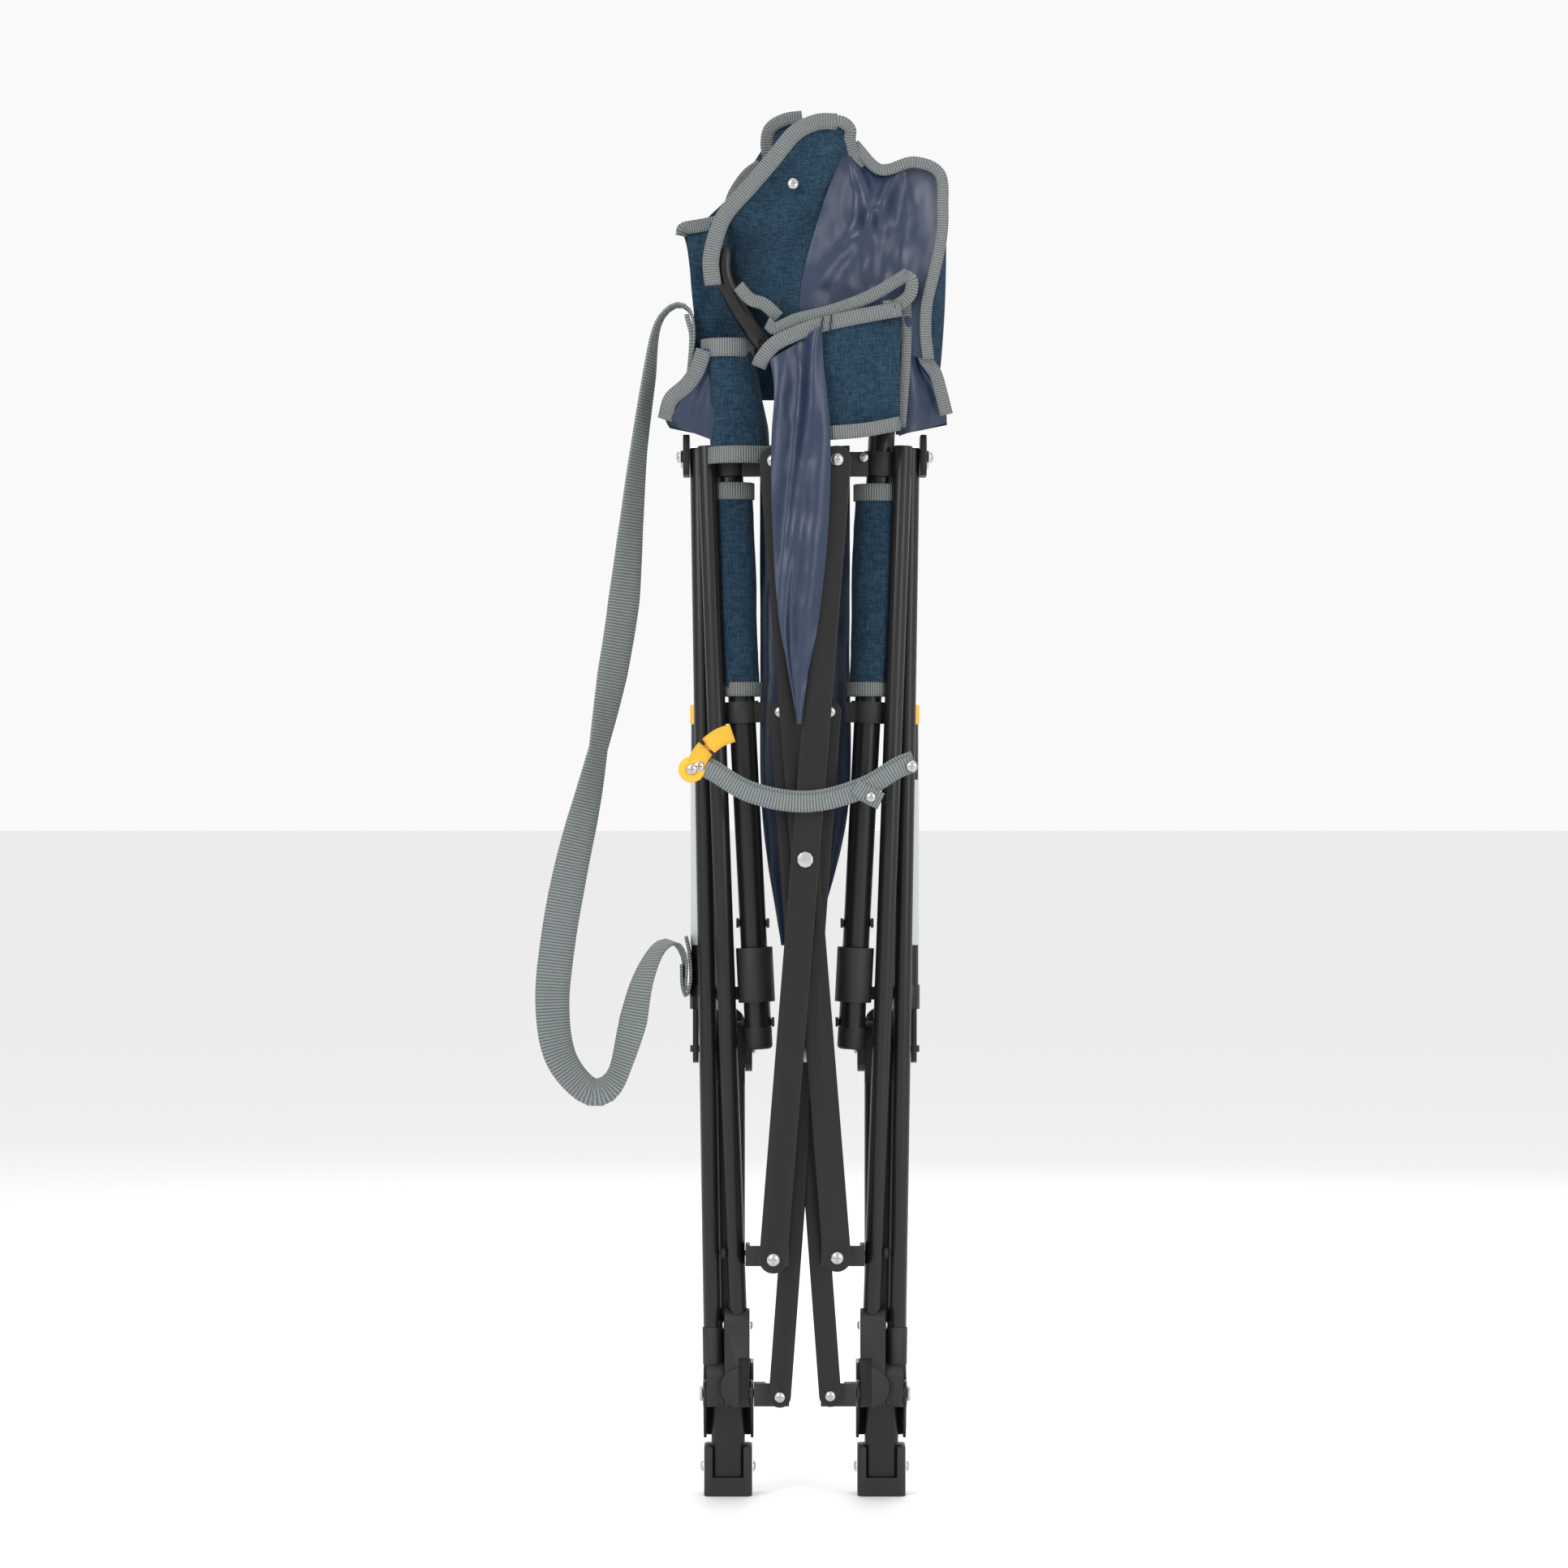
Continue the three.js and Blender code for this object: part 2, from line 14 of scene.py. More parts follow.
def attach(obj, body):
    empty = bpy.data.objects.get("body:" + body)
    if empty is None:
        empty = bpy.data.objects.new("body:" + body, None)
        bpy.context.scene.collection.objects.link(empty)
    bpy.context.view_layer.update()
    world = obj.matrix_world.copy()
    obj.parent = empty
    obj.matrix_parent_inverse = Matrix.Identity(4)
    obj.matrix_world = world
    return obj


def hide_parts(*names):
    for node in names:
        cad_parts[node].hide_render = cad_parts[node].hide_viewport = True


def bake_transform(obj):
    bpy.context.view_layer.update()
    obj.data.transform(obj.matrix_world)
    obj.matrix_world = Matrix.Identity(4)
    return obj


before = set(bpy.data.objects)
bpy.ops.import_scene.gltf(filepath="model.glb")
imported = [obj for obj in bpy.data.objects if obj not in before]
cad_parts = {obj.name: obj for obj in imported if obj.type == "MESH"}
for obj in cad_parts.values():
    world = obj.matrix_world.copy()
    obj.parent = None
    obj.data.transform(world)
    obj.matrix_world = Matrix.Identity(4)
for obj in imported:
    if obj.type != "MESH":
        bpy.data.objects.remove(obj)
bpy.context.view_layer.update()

MM = 0.001
SIDES = (("left", -1), ("right", 1))


# %% Small helpers for working by hand in a script
def only(obj):
    """Deselects everything, then picks one object."""
    bpy.ops.object.select_all(action="DESELECT")
    obj.select_set(True)
    bpy.context.view_layer.objects.active = obj


def new_piece(name):
    """Names the object that an operator has just added."""
    obj = bpy.context.object
    obj.name = name
    obj.data.name = name
    only(obj)
    return obj


def apply_place(obj):
    """Puts the object's place, turn and scale into its mesh."""
    only(obj)
    bpy.ops.object.transform_apply(location=True, rotation=True, scale=True)


def modify(obj, kind, **values):
    """Adds one modifier, sets it and applies it."""
    only(obj)
    modifier = obj.modifiers.new(kind.title(), kind)
    for key, value in values.items():
        setattr(modifier, key, value)
    bpy.ops.object.modifier_apply(modifier=modifier.name)


def smooth(obj, angle=40):
    only(obj)
    bpy.ops.object.shade_smooth_by_angle(angle=math.radians(angle))


def point(x, y, z):
    """Millimetres to a place in metres."""
    return Vector((x * MM, y * MM, z * MM))


# %% [markdown]
# ## Camera, light and floor
# The chair is looked at straight from the front, from far away, so a long lens keeps the tubes
# parallel. Big soft lamps give the long thin highlights that black gloss tubes need to look round.

# %% Camera
VIEW_CENTRE = point(-14.6, 0, 499)
VIEW_HEIGHT = 1.082
CAMERA_DISTANCE = 3.5
FRONT_OF_CHAIR = 0.03
SENSOR_WIDTH = 36
bpy.ops.object.camera_add(location=VIEW_CENTRE + Vector((0, -CAMERA_DISTANCE, 0)),
    rotation=(math.pi / 2, 0, 0))
camera = bpy.context.object
camera.data.sensor_width = SENSOR_WIDTH
camera.data.lens = SENSOR_WIDTH * (CAMERA_DISTANCE - FRONT_OF_CHAIR) / VIEW_HEIGHT
bpy.context.scene.camera = camera


# %% Lamps and floor
def soft_lamp(name, place, target, size, power):
    bpy.ops.object.light_add(type="AREA", location=place)
    lamp = bpy.context.object
    lamp.name = name
    lamp.data.shape = "RECTANGLE"
    lamp.data.size, lamp.data.size_y = size
    lamp.data.energy = power
    lamp.rotation_euler = (Vector(target) - Vector(place)).to_track_quat("-Z", "Y").to_euler()


soft_lamp("key_lamp", (-1.6, -2.2, 2.0), (0, 0, 0.5), (1.2, 1.6), 40)
soft_lamp("fill_lamp", (1.9, -2.0, 1.2), (0, 0, 0.5), (1.0, 1.8), 22)
soft_lamp("top_lamp", (0, 0.4, 2.6), (0, 0, 0.4), (1.6, 1.6), 14)
soft_lamp("back_lamp", (0.4, 2.4, 1.6), (0, 0, 0.5), (1.6, 1.6), 14)

world = bpy.data.worlds.new("pale_room")
bpy.context.scene.world = world
world.use_nodes = True
world.node_tree.nodes["Background"].inputs["Color"].default_value = (1, 1, 1, 1)
world.node_tree.nodes["Background"].inputs["Strength"].default_value = 0.95
bpy.context.scene.view_settings.view_transform = "Standard"

bpy.ops.object.select_all(action="DESELECT")
bpy.ops.mesh.primitive_plane_add(size=60, location=(0, 20, 0))
floor = new_piece("floor")
apply_place(floor)

# %% [markdown]
# ## Shader groups
# Three effects are shared: the two-tone threads of the heather cloth, the ribs of the webbing, and
# the fine grain of painted and moulded pieces, with a painted highlight on their edges. Each is a node
# group with named inputs, so every material can set its own scale and strength.


# %% A little kit for node groups
def group(name, inputs, outputs):
    tree = bpy.data.node_groups.new(name, "ShaderNodeTree")
    for label, kind, value in inputs:
        socket = tree.interface.new_socket(label, in_out="INPUT", socket_type=kind)
        socket.default_value = value
    for label, kind in outputs:
        tree.interface.new_socket(label, in_out="OUTPUT", socket_type=kind)
    return tree, tree.nodes.new("NodeGroupInput").outputs, tree.nodes.new("NodeGroupOutput").inputs


def node(tree, kind, links=(), **settings):
    """Adds a node, sets its fields and values, and links what comes in."""
    n = tree.nodes.new(kind)
    for key, value in settings.items():
        if hasattr(n, key):
            setattr(n, key, value)
        else:
            n.inputs[key].default_value = value
    for target, source in links:
        tree.links.new(source, n.inputs[target])
    return n


def maths(tree, operation, a, b):
    n = node(tree, "ShaderNodeMath", operation=operation)
    for socket, value in zip(n.inputs, (a, b)):
        if isinstance(value, (int, float)):
            socket.default_value = value
        else:
            tree.links.new(value, socket)
    return n.outputs[0]


F, C, V = "NodeSocketFloat", "NodeSocketColor", "NodeSocketVector"


# %% Heather weave: dark and light threads that cross, with a woven bump
def make_weave_group():
    tree, i, o = group("woven_threads",
        [("Coordinates", V, (0, 0, 0)), ("Dark", C, (0, 0, 0, 1)), ("Light", C, (1, 1, 1, 1)),
         ("Threads", F, 900), ("Heather", F, 0.5)],
        [("Color", C), ("Height", F)])
    warp = node(tree, "ShaderNodeMapping", [("Vector", i["Coordinates"])], Scale=(1.0, 1.0, 0.12))
    weft = node(tree, "ShaderNodeMapping", [("Vector", i["Coordinates"])], Scale=(0.12, 0.12, 1.0))
    threads = [node(tree, "ShaderNodeTexNoise", [("Vector", m.outputs[0]), ("Scale", i["Threads"])],
        Detail=2, Roughness=0.7).outputs["Fac"] for m in (warp, weft)]
    mixed = maths(tree, "ADD", threads[0], threads[1])
    ramp = node(tree, "ShaderNodeMapRange", [("Value", mixed)])
    for key, value in (("From Min", 0.82), ("From Max", 1.22)):
        ramp.inputs[key].default_value = value
    blotch = node(tree, "ShaderNodeTexNoise", [("Vector", i["Coordinates"])], Scale=30, Detail=3)
    share = maths(tree, "MULTIPLY", ramp.outputs[0], i["Heather"])
    share = maths(tree, "ADD", share, maths(tree, "MULTIPLY", blotch.outputs["Fac"], 0.12))
    mix = node(tree, "ShaderNodeMix", data_type="RGBA")
    tree.links.new(share, mix.inputs[0])
    tree.links.new(i["Dark"], mix.inputs[6])
    tree.links.new(i["Light"], mix.inputs[7])
    tree.links.new(mix.outputs[2], o["Color"])
    tree.links.new(mixed, o["Height"])
    return tree


# %% Webbing ribs: cords across the band, each with a fine thread, from the piece's own UV map
def make_rib_group():
    tree, i, o = group("webbing_ribs",
        [("UV", V, (0, 0, 0)), ("Dark", C, (0, 0, 0, 1)), ("Light", C, (1, 1, 1, 1)), ("Pitch", F, 900)],
        [("Color", C), ("Height", F)])
    split = node(tree, "ShaderNodeSeparateXYZ", [("Vector", i["UV"])])
    along = maths(tree, "MULTIPLY", split.outputs["X"], i["Pitch"])
    rib = maths(tree, "SINE", along, 0)
    across = maths(tree, "MULTIPLY", split.outputs["Y"], 7000)
    fine = maths(tree, "MULTIPLY", maths(tree, "SINE", across, 0), 0.35)
    speck = node(tree, "ShaderNodeTexNoise", [("Vector", i["UV"])], Scale=900, Detail=2)
    height = maths(tree, "ADD", maths(tree, "ADD", rib, fine), speck.outputs["Fac"])
    ramp = node(tree, "ShaderNodeMapRange", [("Value", height)])
    for key, value in (("From Min", -0.9), ("From Max", 1.9)):
        ramp.inputs[key].default_value = value
    mix = node(tree, "ShaderNodeMix", data_type="RGBA")
    tree.links.new(ramp.outputs[0], mix.inputs[0])
    tree.links.new(i["Dark"], mix.inputs[6])
    tree.links.new(i["Light"], mix.inputs[7])
    tree.links.new(mix.outputs[2], o["Color"])
    tree.links.new(height, o["Height"])
    return tree


# %% Grain and painted edge highlight: orange peel or moulded grain, and edges painted a little lighter as a highlight
def make_grain_group():
    tree, i, o = group("grain_and_edge_highlight",
        [("Base", C, (0, 0, 0, 1)), ("Worn", C, (1, 1, 1, 1)), ("Grain", F, 900), ("Wear", F, 0.3),
         ("Roughness", F, 0.4)],
        [("Color", C), ("Roughness", F), ("Height", F)])
    place = node(tree, "ShaderNodeTexCoord").outputs["Object"]
    fine = node(tree, "ShaderNodeTexNoise", [("Vector", place), ("Scale", i["Grain"])], Detail=3)
    broad = node(tree, "ShaderNodeTexNoise", [("Vector", place)], Scale=22, Detail=5)
    # Painted highlight: convex edges, found by pointiness, get the lighter colour, in patches set by the
    # broad noise.
    edge = node(tree, "ShaderNodeNewGeometry").outputs["Pointiness"]
    highlight_edges = node(tree, "ShaderNodeMapRange", [("Value", edge)])
    for key, value in (("From Min", 0.52), ("From Max", 0.62)):
        highlight_edges.inputs[key].default_value = value
    patchy_highlight = maths(tree, "MULTIPLY", highlight_edges.outputs[0], broad.outputs["Fac"])
    share = maths(tree, "MULTIPLY", patchy_highlight, i["Wear"])
    mix = node(tree, "ShaderNodeMix", data_type="RGBA")
    tree.links.new(share, mix.inputs[0])
    tree.links.new(i["Base"], mix.inputs[6])
    tree.links.new(i["Worn"], mix.inputs[7])
    uneven = maths(tree, "MULTIPLY", maths(tree, "SUBTRACT", broad.outputs["Fac"], 0.5), 0.25)
    tree.links.new(mix.outputs[2], o["Color"])
    tree.links.new(maths(tree, "ADD", i["Roughness"], uneven), o["Roughness"])
    tree.links.new(fine.outputs["Fac"], o["Height"])
    return tree


WEAVE, RIBS, GRAIN = make_weave_group(), make_rib_group(), make_grain_group()


# %% [markdown]
# ## Materials
# A material here is one Principled shader fed by one of the groups. The numbers that stay the same
# all over the surface, such as metalness or coat, are set on the shader itself.


# %% Build a material from a group
def material(name, shared, values, coordinates=None, bump=0.2, depth=0.0004, **shader):
    mat = bpy.data.materials.new(name)
    mat.use_nodes = True
    tree = mat.node_tree
    principled = tree.nodes["Principled BSDF"]
    for key, value in shader.items():
        principled.inputs[key.replace("_", " ")].default_value = value
    look = node(tree, "ShaderNodeGroup", node_tree=shared)
    for key, value in values.items():
        look.inputs[key].default_value = value
    if coordinates:
        source = node(tree, "ShaderNodeTexCoord").outputs["UV" if coordinates == "UV" else "Object"]
        tree.links.new(source, look.inputs["UV" if coordinates == "UV" else "Coordinates"])
    tree.links.new(look.outputs["Color"], principled.inputs["Base Color"])
    if "Roughness" in look.outputs:
        tree.links.new(look.outputs["Roughness"], principled.inputs["Roughness"])
    relief = node(tree, "ShaderNodeBump", [("Height", look.outputs["Height"])], Strength=bump,
        Distance=depth)
    tree.links.new(relief.outputs["Normal"], principled.inputs["Normal"])
    return mat


# The second colour is a painted highlight, laid lighter on the piece's edges.
def grained(name, base, edge_highlight, grain, highlight_share, roughness, bump=0.1, **shader):
    values = {"Base": (*base, 1), "Worn": (*edge_highlight, 1), "Grain": grain, "Wear": highlight_share, "Roughness": roughness}
    return material(name, GRAIN, values, bump=bump, **shader)


# %% Hard finishes
# Each finish's second colour is its painted edge highlight.
GLOSS_STEEL = grained("black_gloss_steel", (0.006, 0.006, 0.007), (0.09, 0.09, 0.09), 700, 0.3, 0.36,
    0.04, Metallic=0.0, Specular_IOR_Level=0.3, Coat_Weight=0.12, Coat_Roughness=0.2)
PLASTIC = grained("black_moulded_plastic", (0.013, 0.014, 0.013), (0.07, 0.07, 0.07), 2200, 0.5, 0.55, 0.25,
    Specular_IOR_Level=0.3)
ZINC = grained("zinc_plate", (0.5, 0.5, 0.49), (0.75, 0.75, 0.75), 1500, 0.5, 0.3, 0.1, Metallic=1.0)
CHROME = grained("hard_chrome", (0.75, 0.76, 0.78), (0.85, 0.85, 0.85), 1500, 0.2, 0.12, 0.02, Metallic=1.0)
YELLOW = grained("yellow_plastic", (0.86, 0.42, 0.015), (0.95, 0.62, 0.15), 1800, 0.3, 0.45, 0.2)
LABEL = grained("silver_label", (0.52, 0.55, 0.57), (0.7, 0.7, 0.7), 600, 0.1, 0.35, 0.03, Metallic=0.25)
PALE = grained("pale_floor", (0.86, 0.86, 0.86), (0.9, 0.9, 0.9), 300, 0.0, 0.6, 0.02)

# %% Cloth, webbing and thread
CLOTH = material("heather_cloth", WEAVE,
    {"Dark": (0.004, 0.014, 0.03, 1), "Light": (0.03, 0.075, 0.115, 1), "Threads": 1300, "Heather": 0.6},
    "Object", bump=0.35, depth=0.0006, Roughness=0.9, Sheen_Weight=0.04, Specular_IOR_Level=0.2)
LINING = material("shiny_lining", WEAVE,
    {"Dark": (0.008, 0.018, 0.048, 1), "Light": (0.02, 0.04, 0.085, 1), "Threads": 2600, "Heather": 0.35},
    "Object", bump=0.08, depth=0.0003, Roughness=0.38, Specular_IOR_Level=0.5)
WEBBING = material("grey_webbing", RIBS,
    {"Dark": (0.06, 0.07, 0.07, 1), "Light": (0.27, 0.3, 0.3, 1), "Pitch": 3000},
    "UV", bump=0.6, depth=0.0005, Roughness=0.8)
BINDING = material("grey_binding", RIBS,
    {"Dark": (0.09, 0.1, 0.1, 1), "Light": (0.3, 0.32, 0.32, 1), "Pitch": 3600},
    "UV", bump=0.8, depth=0.0006, Roughness=0.85)
YELLOW_WEB = material("yellow_webbing", RIBS,
    {"Dark": (0.55, 0.24, 0.01, 1), "Light": (0.95, 0.55, 0.05, 1), "Pitch": 5200},
    "UV", bump=0.4, depth=0.0004, Roughness=0.8)
THREAD = grained("dark_thread", (0.01, 0.015, 0.025), (0.05, 0.06, 0.08), 2500, 0.1, 0.8)
floor.data.materials.append(PALE)
print(len(bpy.data.materials), "materials")


# %% [markdown]
# ## Bands of cloth
# Straps and edge bindings are the same thing: a flat band that follows a line. Each one is a grid
# wrapped round a thin oval section and closed, so it can twist, and its UV map runs along it in
# metres, so the ribs stay the same size on every band. A smooth curve is drawn through a few points.


# %% A smooth line through given points
def smooth_line(points, steps):
    """Catmull-Rom curve through the points, with its stations evenly spaced."""
    p = [Vector(q) for q in points]
    p = [2 * p[0] - p[1]] + p + [2 * p[-1] - p[-2]]
    dense = []
    for a, b, c, d in zip(p, p[1:], p[2:], p[3:]):
        for k in range(16):
            t = k / 16
            dense.append(0.5 * ((2 * b) + (c - a) * t + (2 * a - 5 * b + 4 * c - d) * t * t
                + (3 * b - a - 3 * c + d) * t ** 3))
    dense.append(p[-2])
    lengths = [0.0]
    for a, b in zip(dense, dense[1:]):
        lengths.append(lengths[-1] + (b - a).length)
    out, k = [], 0
    for s in range(steps + 1):
        want = lengths[-1] * s / steps
        while k < len(lengths) - 2 and lengths[k + 1] < want:
            k += 1
        span = max(lengths[k + 1] - lengths[k], 1e-9)
        out.append(dense[k].lerp(dense[k + 1], (want - lengths[k]) / span))
    return out, lengths[-1]


# %% A band: its width direction is given at each end of the line, or turns through several
def band(name, points, width, thick, across=((0, 0, 1),), steps=None, mat=None):
    """points in millimetres. across lists the width's directions, spread evenly along the band."""
    line, length = smooth_line([point(*p) for p in points], steps or max(12, 4 * len(points)))
    last = len(line) - 1
    width, thick = width * MM, thick * MM
    section = [(-0.5, 0.0), (-0.47, 0.5), (-0.2, 0.5), (0.2, 0.5), (0.47, 0.5), (0.5, 0.0),
        (0.47, -0.5), (0.2, -0.5), (-0.2, -0.5), (-0.47, -0.5)]
    bm = bmesh.new()
    uv = bm.loops.layers.uv.new("UVMap")
    rings = []
    for k, c in enumerate(line):
        tangent = (line[min(k + 1, last)] - line[max(k - 1, 0)]).normalized()
        s = k / last * (len(across) - 1)
        i = min(int(s), len(across) - 2) if len(across) > 1 else 0
        wide = Vector(across[i])
        if len(across) > 1:
            wide = wide.lerp(Vector(across[i + 1]), s - i)
        wide = (wide - tangent * wide.dot(tangent)).normalized()
        normal = tangent.cross(wide)
        rings.append([bm.verts.new(c + wide * (u * width) + normal * (v * thick)) for u, v in section])
    count = len(section)
    for k, (a, b) in enumerate(zip(rings, rings[1:])):
        for j in range(count):
            n = (j + 1) % count
            face = bm.faces.new((a[j], a[n], b[n], b[j]))
            face.smooth = True
            marks = ((k, j), (k, n), (k + 1, n), (k + 1, j))
            for loop, (station, place) in zip(face.loops, marks):
                loop[uv].uv = (length * station / last, section[place][0] * width)
    bm.faces.new(list(reversed(rings[0])))
    bm.faces.new(rings[-1])
    bmesh.ops.recalc_face_normals(bm, faces=bm.faces)
    mesh = bpy.data.meshes.new(name)
    bm.to_mesh(mesh)
    bm.free()
    obj = bpy.data.objects.new(name, mesh)
    bpy.context.scene.collection.objects.link(obj)
    obj.data.materials.append(mat or BINDING)
    obj["band_length"] = length
    return obj


# %% [markdown]
# ## The carry strap
# One length of 25 mm webbing hangs from the top of the cloth, narrows where it turns edge-on,
# shows its flat side again, bends up at the bottom and is sewn in a loop at the left strut.

# %% Carry strap
CARRY_ROUTE = ((-79, -2, 790), (-77, -2, 812), (-80, 0, 828), (-91, 2, 832), (-103, 4, 818), (-109, 4, 780),
    (-116, 4, 730), (-121, 4, 680), (-127, 4, 620), (-137, 4, 560), (-149, 4, 500), (-163, 4, 440),
    (-172, 4, 390), (-176, 4, 345), (-170, 4, 308), (-150, 4, 285), (-133, 6, 292), (-122, 8, 325),
    (-114, 12, 360), (-104, 20, 382), (-93, 28, 388), (-85, 32, 378), (-83.5, 34, 355))
SIDE_ON, FLAT = (0, 1, 0), (1, 0.25, 0)
# The width turns with the fold at the bottom, because a strap can't bend in its own plane.
CARRY_TURNS = (SIDE_ON, SIDE_ON, (0.3, 0.95, 0), (0.4, 0.9, 0), (0.6, 0.75, 0), (0.85, 0.5, 0),
    (0.8, 0.55, 0), (0.45, 0.85, 0), (0.8, 0.5, 0), FLAT, FLAT, (0.8, 0.45, 0.4), (0, 0.65, 0.75),
    (-0.75, 0.6, 0.2), (-0.35, 0.9, 0.1), SIDE_ON)
carry_strap = band("carry_strap_webbing", CARRY_ROUTE, 25, 2, CARRY_TURNS, steps=150, mat=WEBBING)
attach(carry_strap, "left_post")
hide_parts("carry_strap")
print("carry strap", round(carry_strap["band_length"], 3), "m")


# %% Strap ends: a doubled, stitched tab at the top and a folded loop at the bottom
def trim(obj, body, slot, *nodes):
    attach(obj, body)
    if nodes:
        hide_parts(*nodes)
    return obj


top_tab = band("carry_strap_top_tab", ((-80.5, -2, 783), (-79, -2, 800), (-79, -1, 812), (-82, 0, 824)),
    24, 3.4, (SIDE_ON,), mat=WEBBING)
low_loop = band("carry_strap_low_loop", ((-83.5, 34, 392), (-81, 34, 380), (-80, 34, 362), (-83, 34, 350),
    (-86, 34, 358), (-86.5, 34, 372)), 24, 2.2, (SIDE_ON,), mat=WEBBING)
for tab in (top_tab, low_loop):
    trim(tab, "left_post", "grey_webbing")

# %% [markdown]
# ## The closure strap
# A narrow doubled grey tape sags across the front between two screws. A piece of yellow webbing
# and a yellow disc hold it on the left, and a short grey tab with an eyelet hangs on the right.

# %% Closure strap
CLOSURE_ROUTE = ((-74, -49.5, 512), (-62, -50.5, 506), (-40, -50.5, 493), (-12, -50.5, 486),
    (14, -50.5, 487), (42, -50.5, 496), (62, -50.5, 508), (74, -49.5, 513))
UPRIGHT = ((0, 0, 1),)
closure_strap = band("closure_tape", CLOSURE_ROUTE, 12, 1.6, UPRIGHT, steps=60, mat=WEBBING)
closure_back = band("closure_tape_back", [(x, y + 3, z + 4) for x, y, z in CLOSURE_ROUTE], 10, 1.4, UPRIGHT,
    steps=60, mat=WEBBING)
yellow_pull = band("yellow_pull", ((-50, -50, 534), (-60, -51, 530), (-71, -51, 520), (-78, -50, 504)),
    13, 2.2, ((0.45, 0, 0.9), (0.95, 0, 0.3)), mat=YELLOW_WEB)
eyelet_tab = band("eyelet_tab", ((34, -51.6, 497), (42, -52, 492), (52, -52, 487)), 12, 2.0, UPRIGHT,
    mat=WEBBING)
for tape in (closure_strap, closure_back):
    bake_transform(tape)
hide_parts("closure_strap")
trim(yellow_pull, "left_post", "yellow_plastic")
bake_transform(eyelet_tab)
print("closure tape", round(closure_strap["band_length"], 3), "m")


# %% [markdown]
# ## Finishing the hard pieces
# The frame's solids are exact but faceted. A copy of each one is merged, its coplanar triangles are
# dissolved, and its edges get a small bevel, which is what catches the light on a moulded or
# pressed piece. Long round tubes are made again with more sides, on the same axis.


# %% Copy a frame node, clean it and bevel its edges
def refined(cad_node, body, mat, slot, bevel=0.5, segments=2, flat_angle=30):
    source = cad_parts[cad_node]
    obj = source.copy()
    obj.data = source.data.copy()
    obj.name = cad_node + "_finished"
    obj.parent = None
    for key in list(obj.keys()):
        del obj[key]
    bpy.context.scene.collection.objects.link(obj)
    obj.matrix_world = Matrix.Identity(4)
    only(obj)
    bpy.ops.object.mode_set(mode="EDIT")
    bpy.ops.mesh.select_all(action="SELECT")
    bpy.ops.mesh.remove_doubles(threshold=0.00002)
    bpy.ops.mesh.dissolve_limited(angle_limit=math.radians(1))
    bpy.ops.object.mode_set(mode="OBJECT")
    if bevel:
        modify(obj, "BEVEL", width=bevel * MM, segments=segments, limit_method="ANGLE",
            angle_limit=math.radians(flat_angle), use_clamp_overlap=True)
    smooth(obj, 35)
    obj.data.materials.clear()
    obj.data.materials.append(mat)
    return trim(obj, body, slot, cad_node)


# %% A round bar or tube from one point to another
def round_bar(name, a, b, radius, bevel=0.8, sides=48):
    """a and b in millimetres."""
    p, q = point(*a), point(*b)
    bpy.ops.object.select_all(action="DESELECT")
    bpy.ops.mesh.primitive_cylinder_add(vertices=sides, radius=radius * MM, depth=(q - p).length,
        location=(p + q) / 2, rotation=(q - p).to_track_quat("Z", "Y").to_euler())
    obj = new_piece(name)
    apply_place(obj)
    if bevel:
        modify(obj, "BEVEL", width=bevel * MM, segments=3, limit_method="ANGLE",
            angle_limit=math.radians(50))
    smooth(obj, 35)
    return obj


# %% The node's axis, from the middle of its lowest and highest vertices
def ends(cad_node):
    verts = [v.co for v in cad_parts[cad_node].data.vertices]
    low, high = min(v.z for v in verts), max(v.z for v in verts)
    out = []
    for level in (low, high):
        near = [v for v in verts if abs(v.z - level) < 0.004]
        xs, ys = [v.x for v in near], [v.y for v in near]
        out.append(((min(xs) + max(xs)) / 2 / MM, (min(ys) + max(ys)) / 2 / MM, level / MM))
    return out


# %% Tubes
LEG_RADIUS, POST_RADIUS = 6.5, 9.25
for side, _ in SIDES:
    for leg, body in (("front_leg", "front_frame"), ("rear_leg", "upright")):
        low, high = ends(f"{side}_{leg}")
        tube = round_bar(f"{side}_{leg}_tube", low, high, LEG_RADIUS)
        tube.data.materials.append(GLOSS_STEEL)
        trim(tube, f"{side}_{body}", "black_steel", f"{side}_{leg}")
    refined(f"{side}_base_rail", f"{side}_rail_frame", GLOSS_STEEL, "black_steel", 0.6, 3, 60)
    low, high = ends(f"{side}_back_post")
    shoulder = [h - (h - l) * 0.018 for l, h in zip(low, high)]
    post = round_bar(f"{side}_post_tube", low, shoulder, POST_RADIUS, 1.5)
    post.data.materials.append(GLOSS_STEEL)
    cap = round_bar(f"{side}_post_top", shoulder, high, POST_RADIUS - 0.4, 2.2)
    cap.data.materials.append(PLASTIC)
    trim(post, f"{side}_post", "black_steel", f"{side}_back_post")
    trim(cap, f"{side}_post", "black_plastic")
    foot = round_bar(f"{side}_post_end", (low[0], low[1], low[2] - 1.5),
        [l + (h - l) * 0.03 for l, h in zip(low, high)], POST_RADIUS + 0.3, 2.5)
    foot.data.materials.append(PLASTIC)
    trim(foot, f"{side}_post", "black_plastic")
print("tubes done")

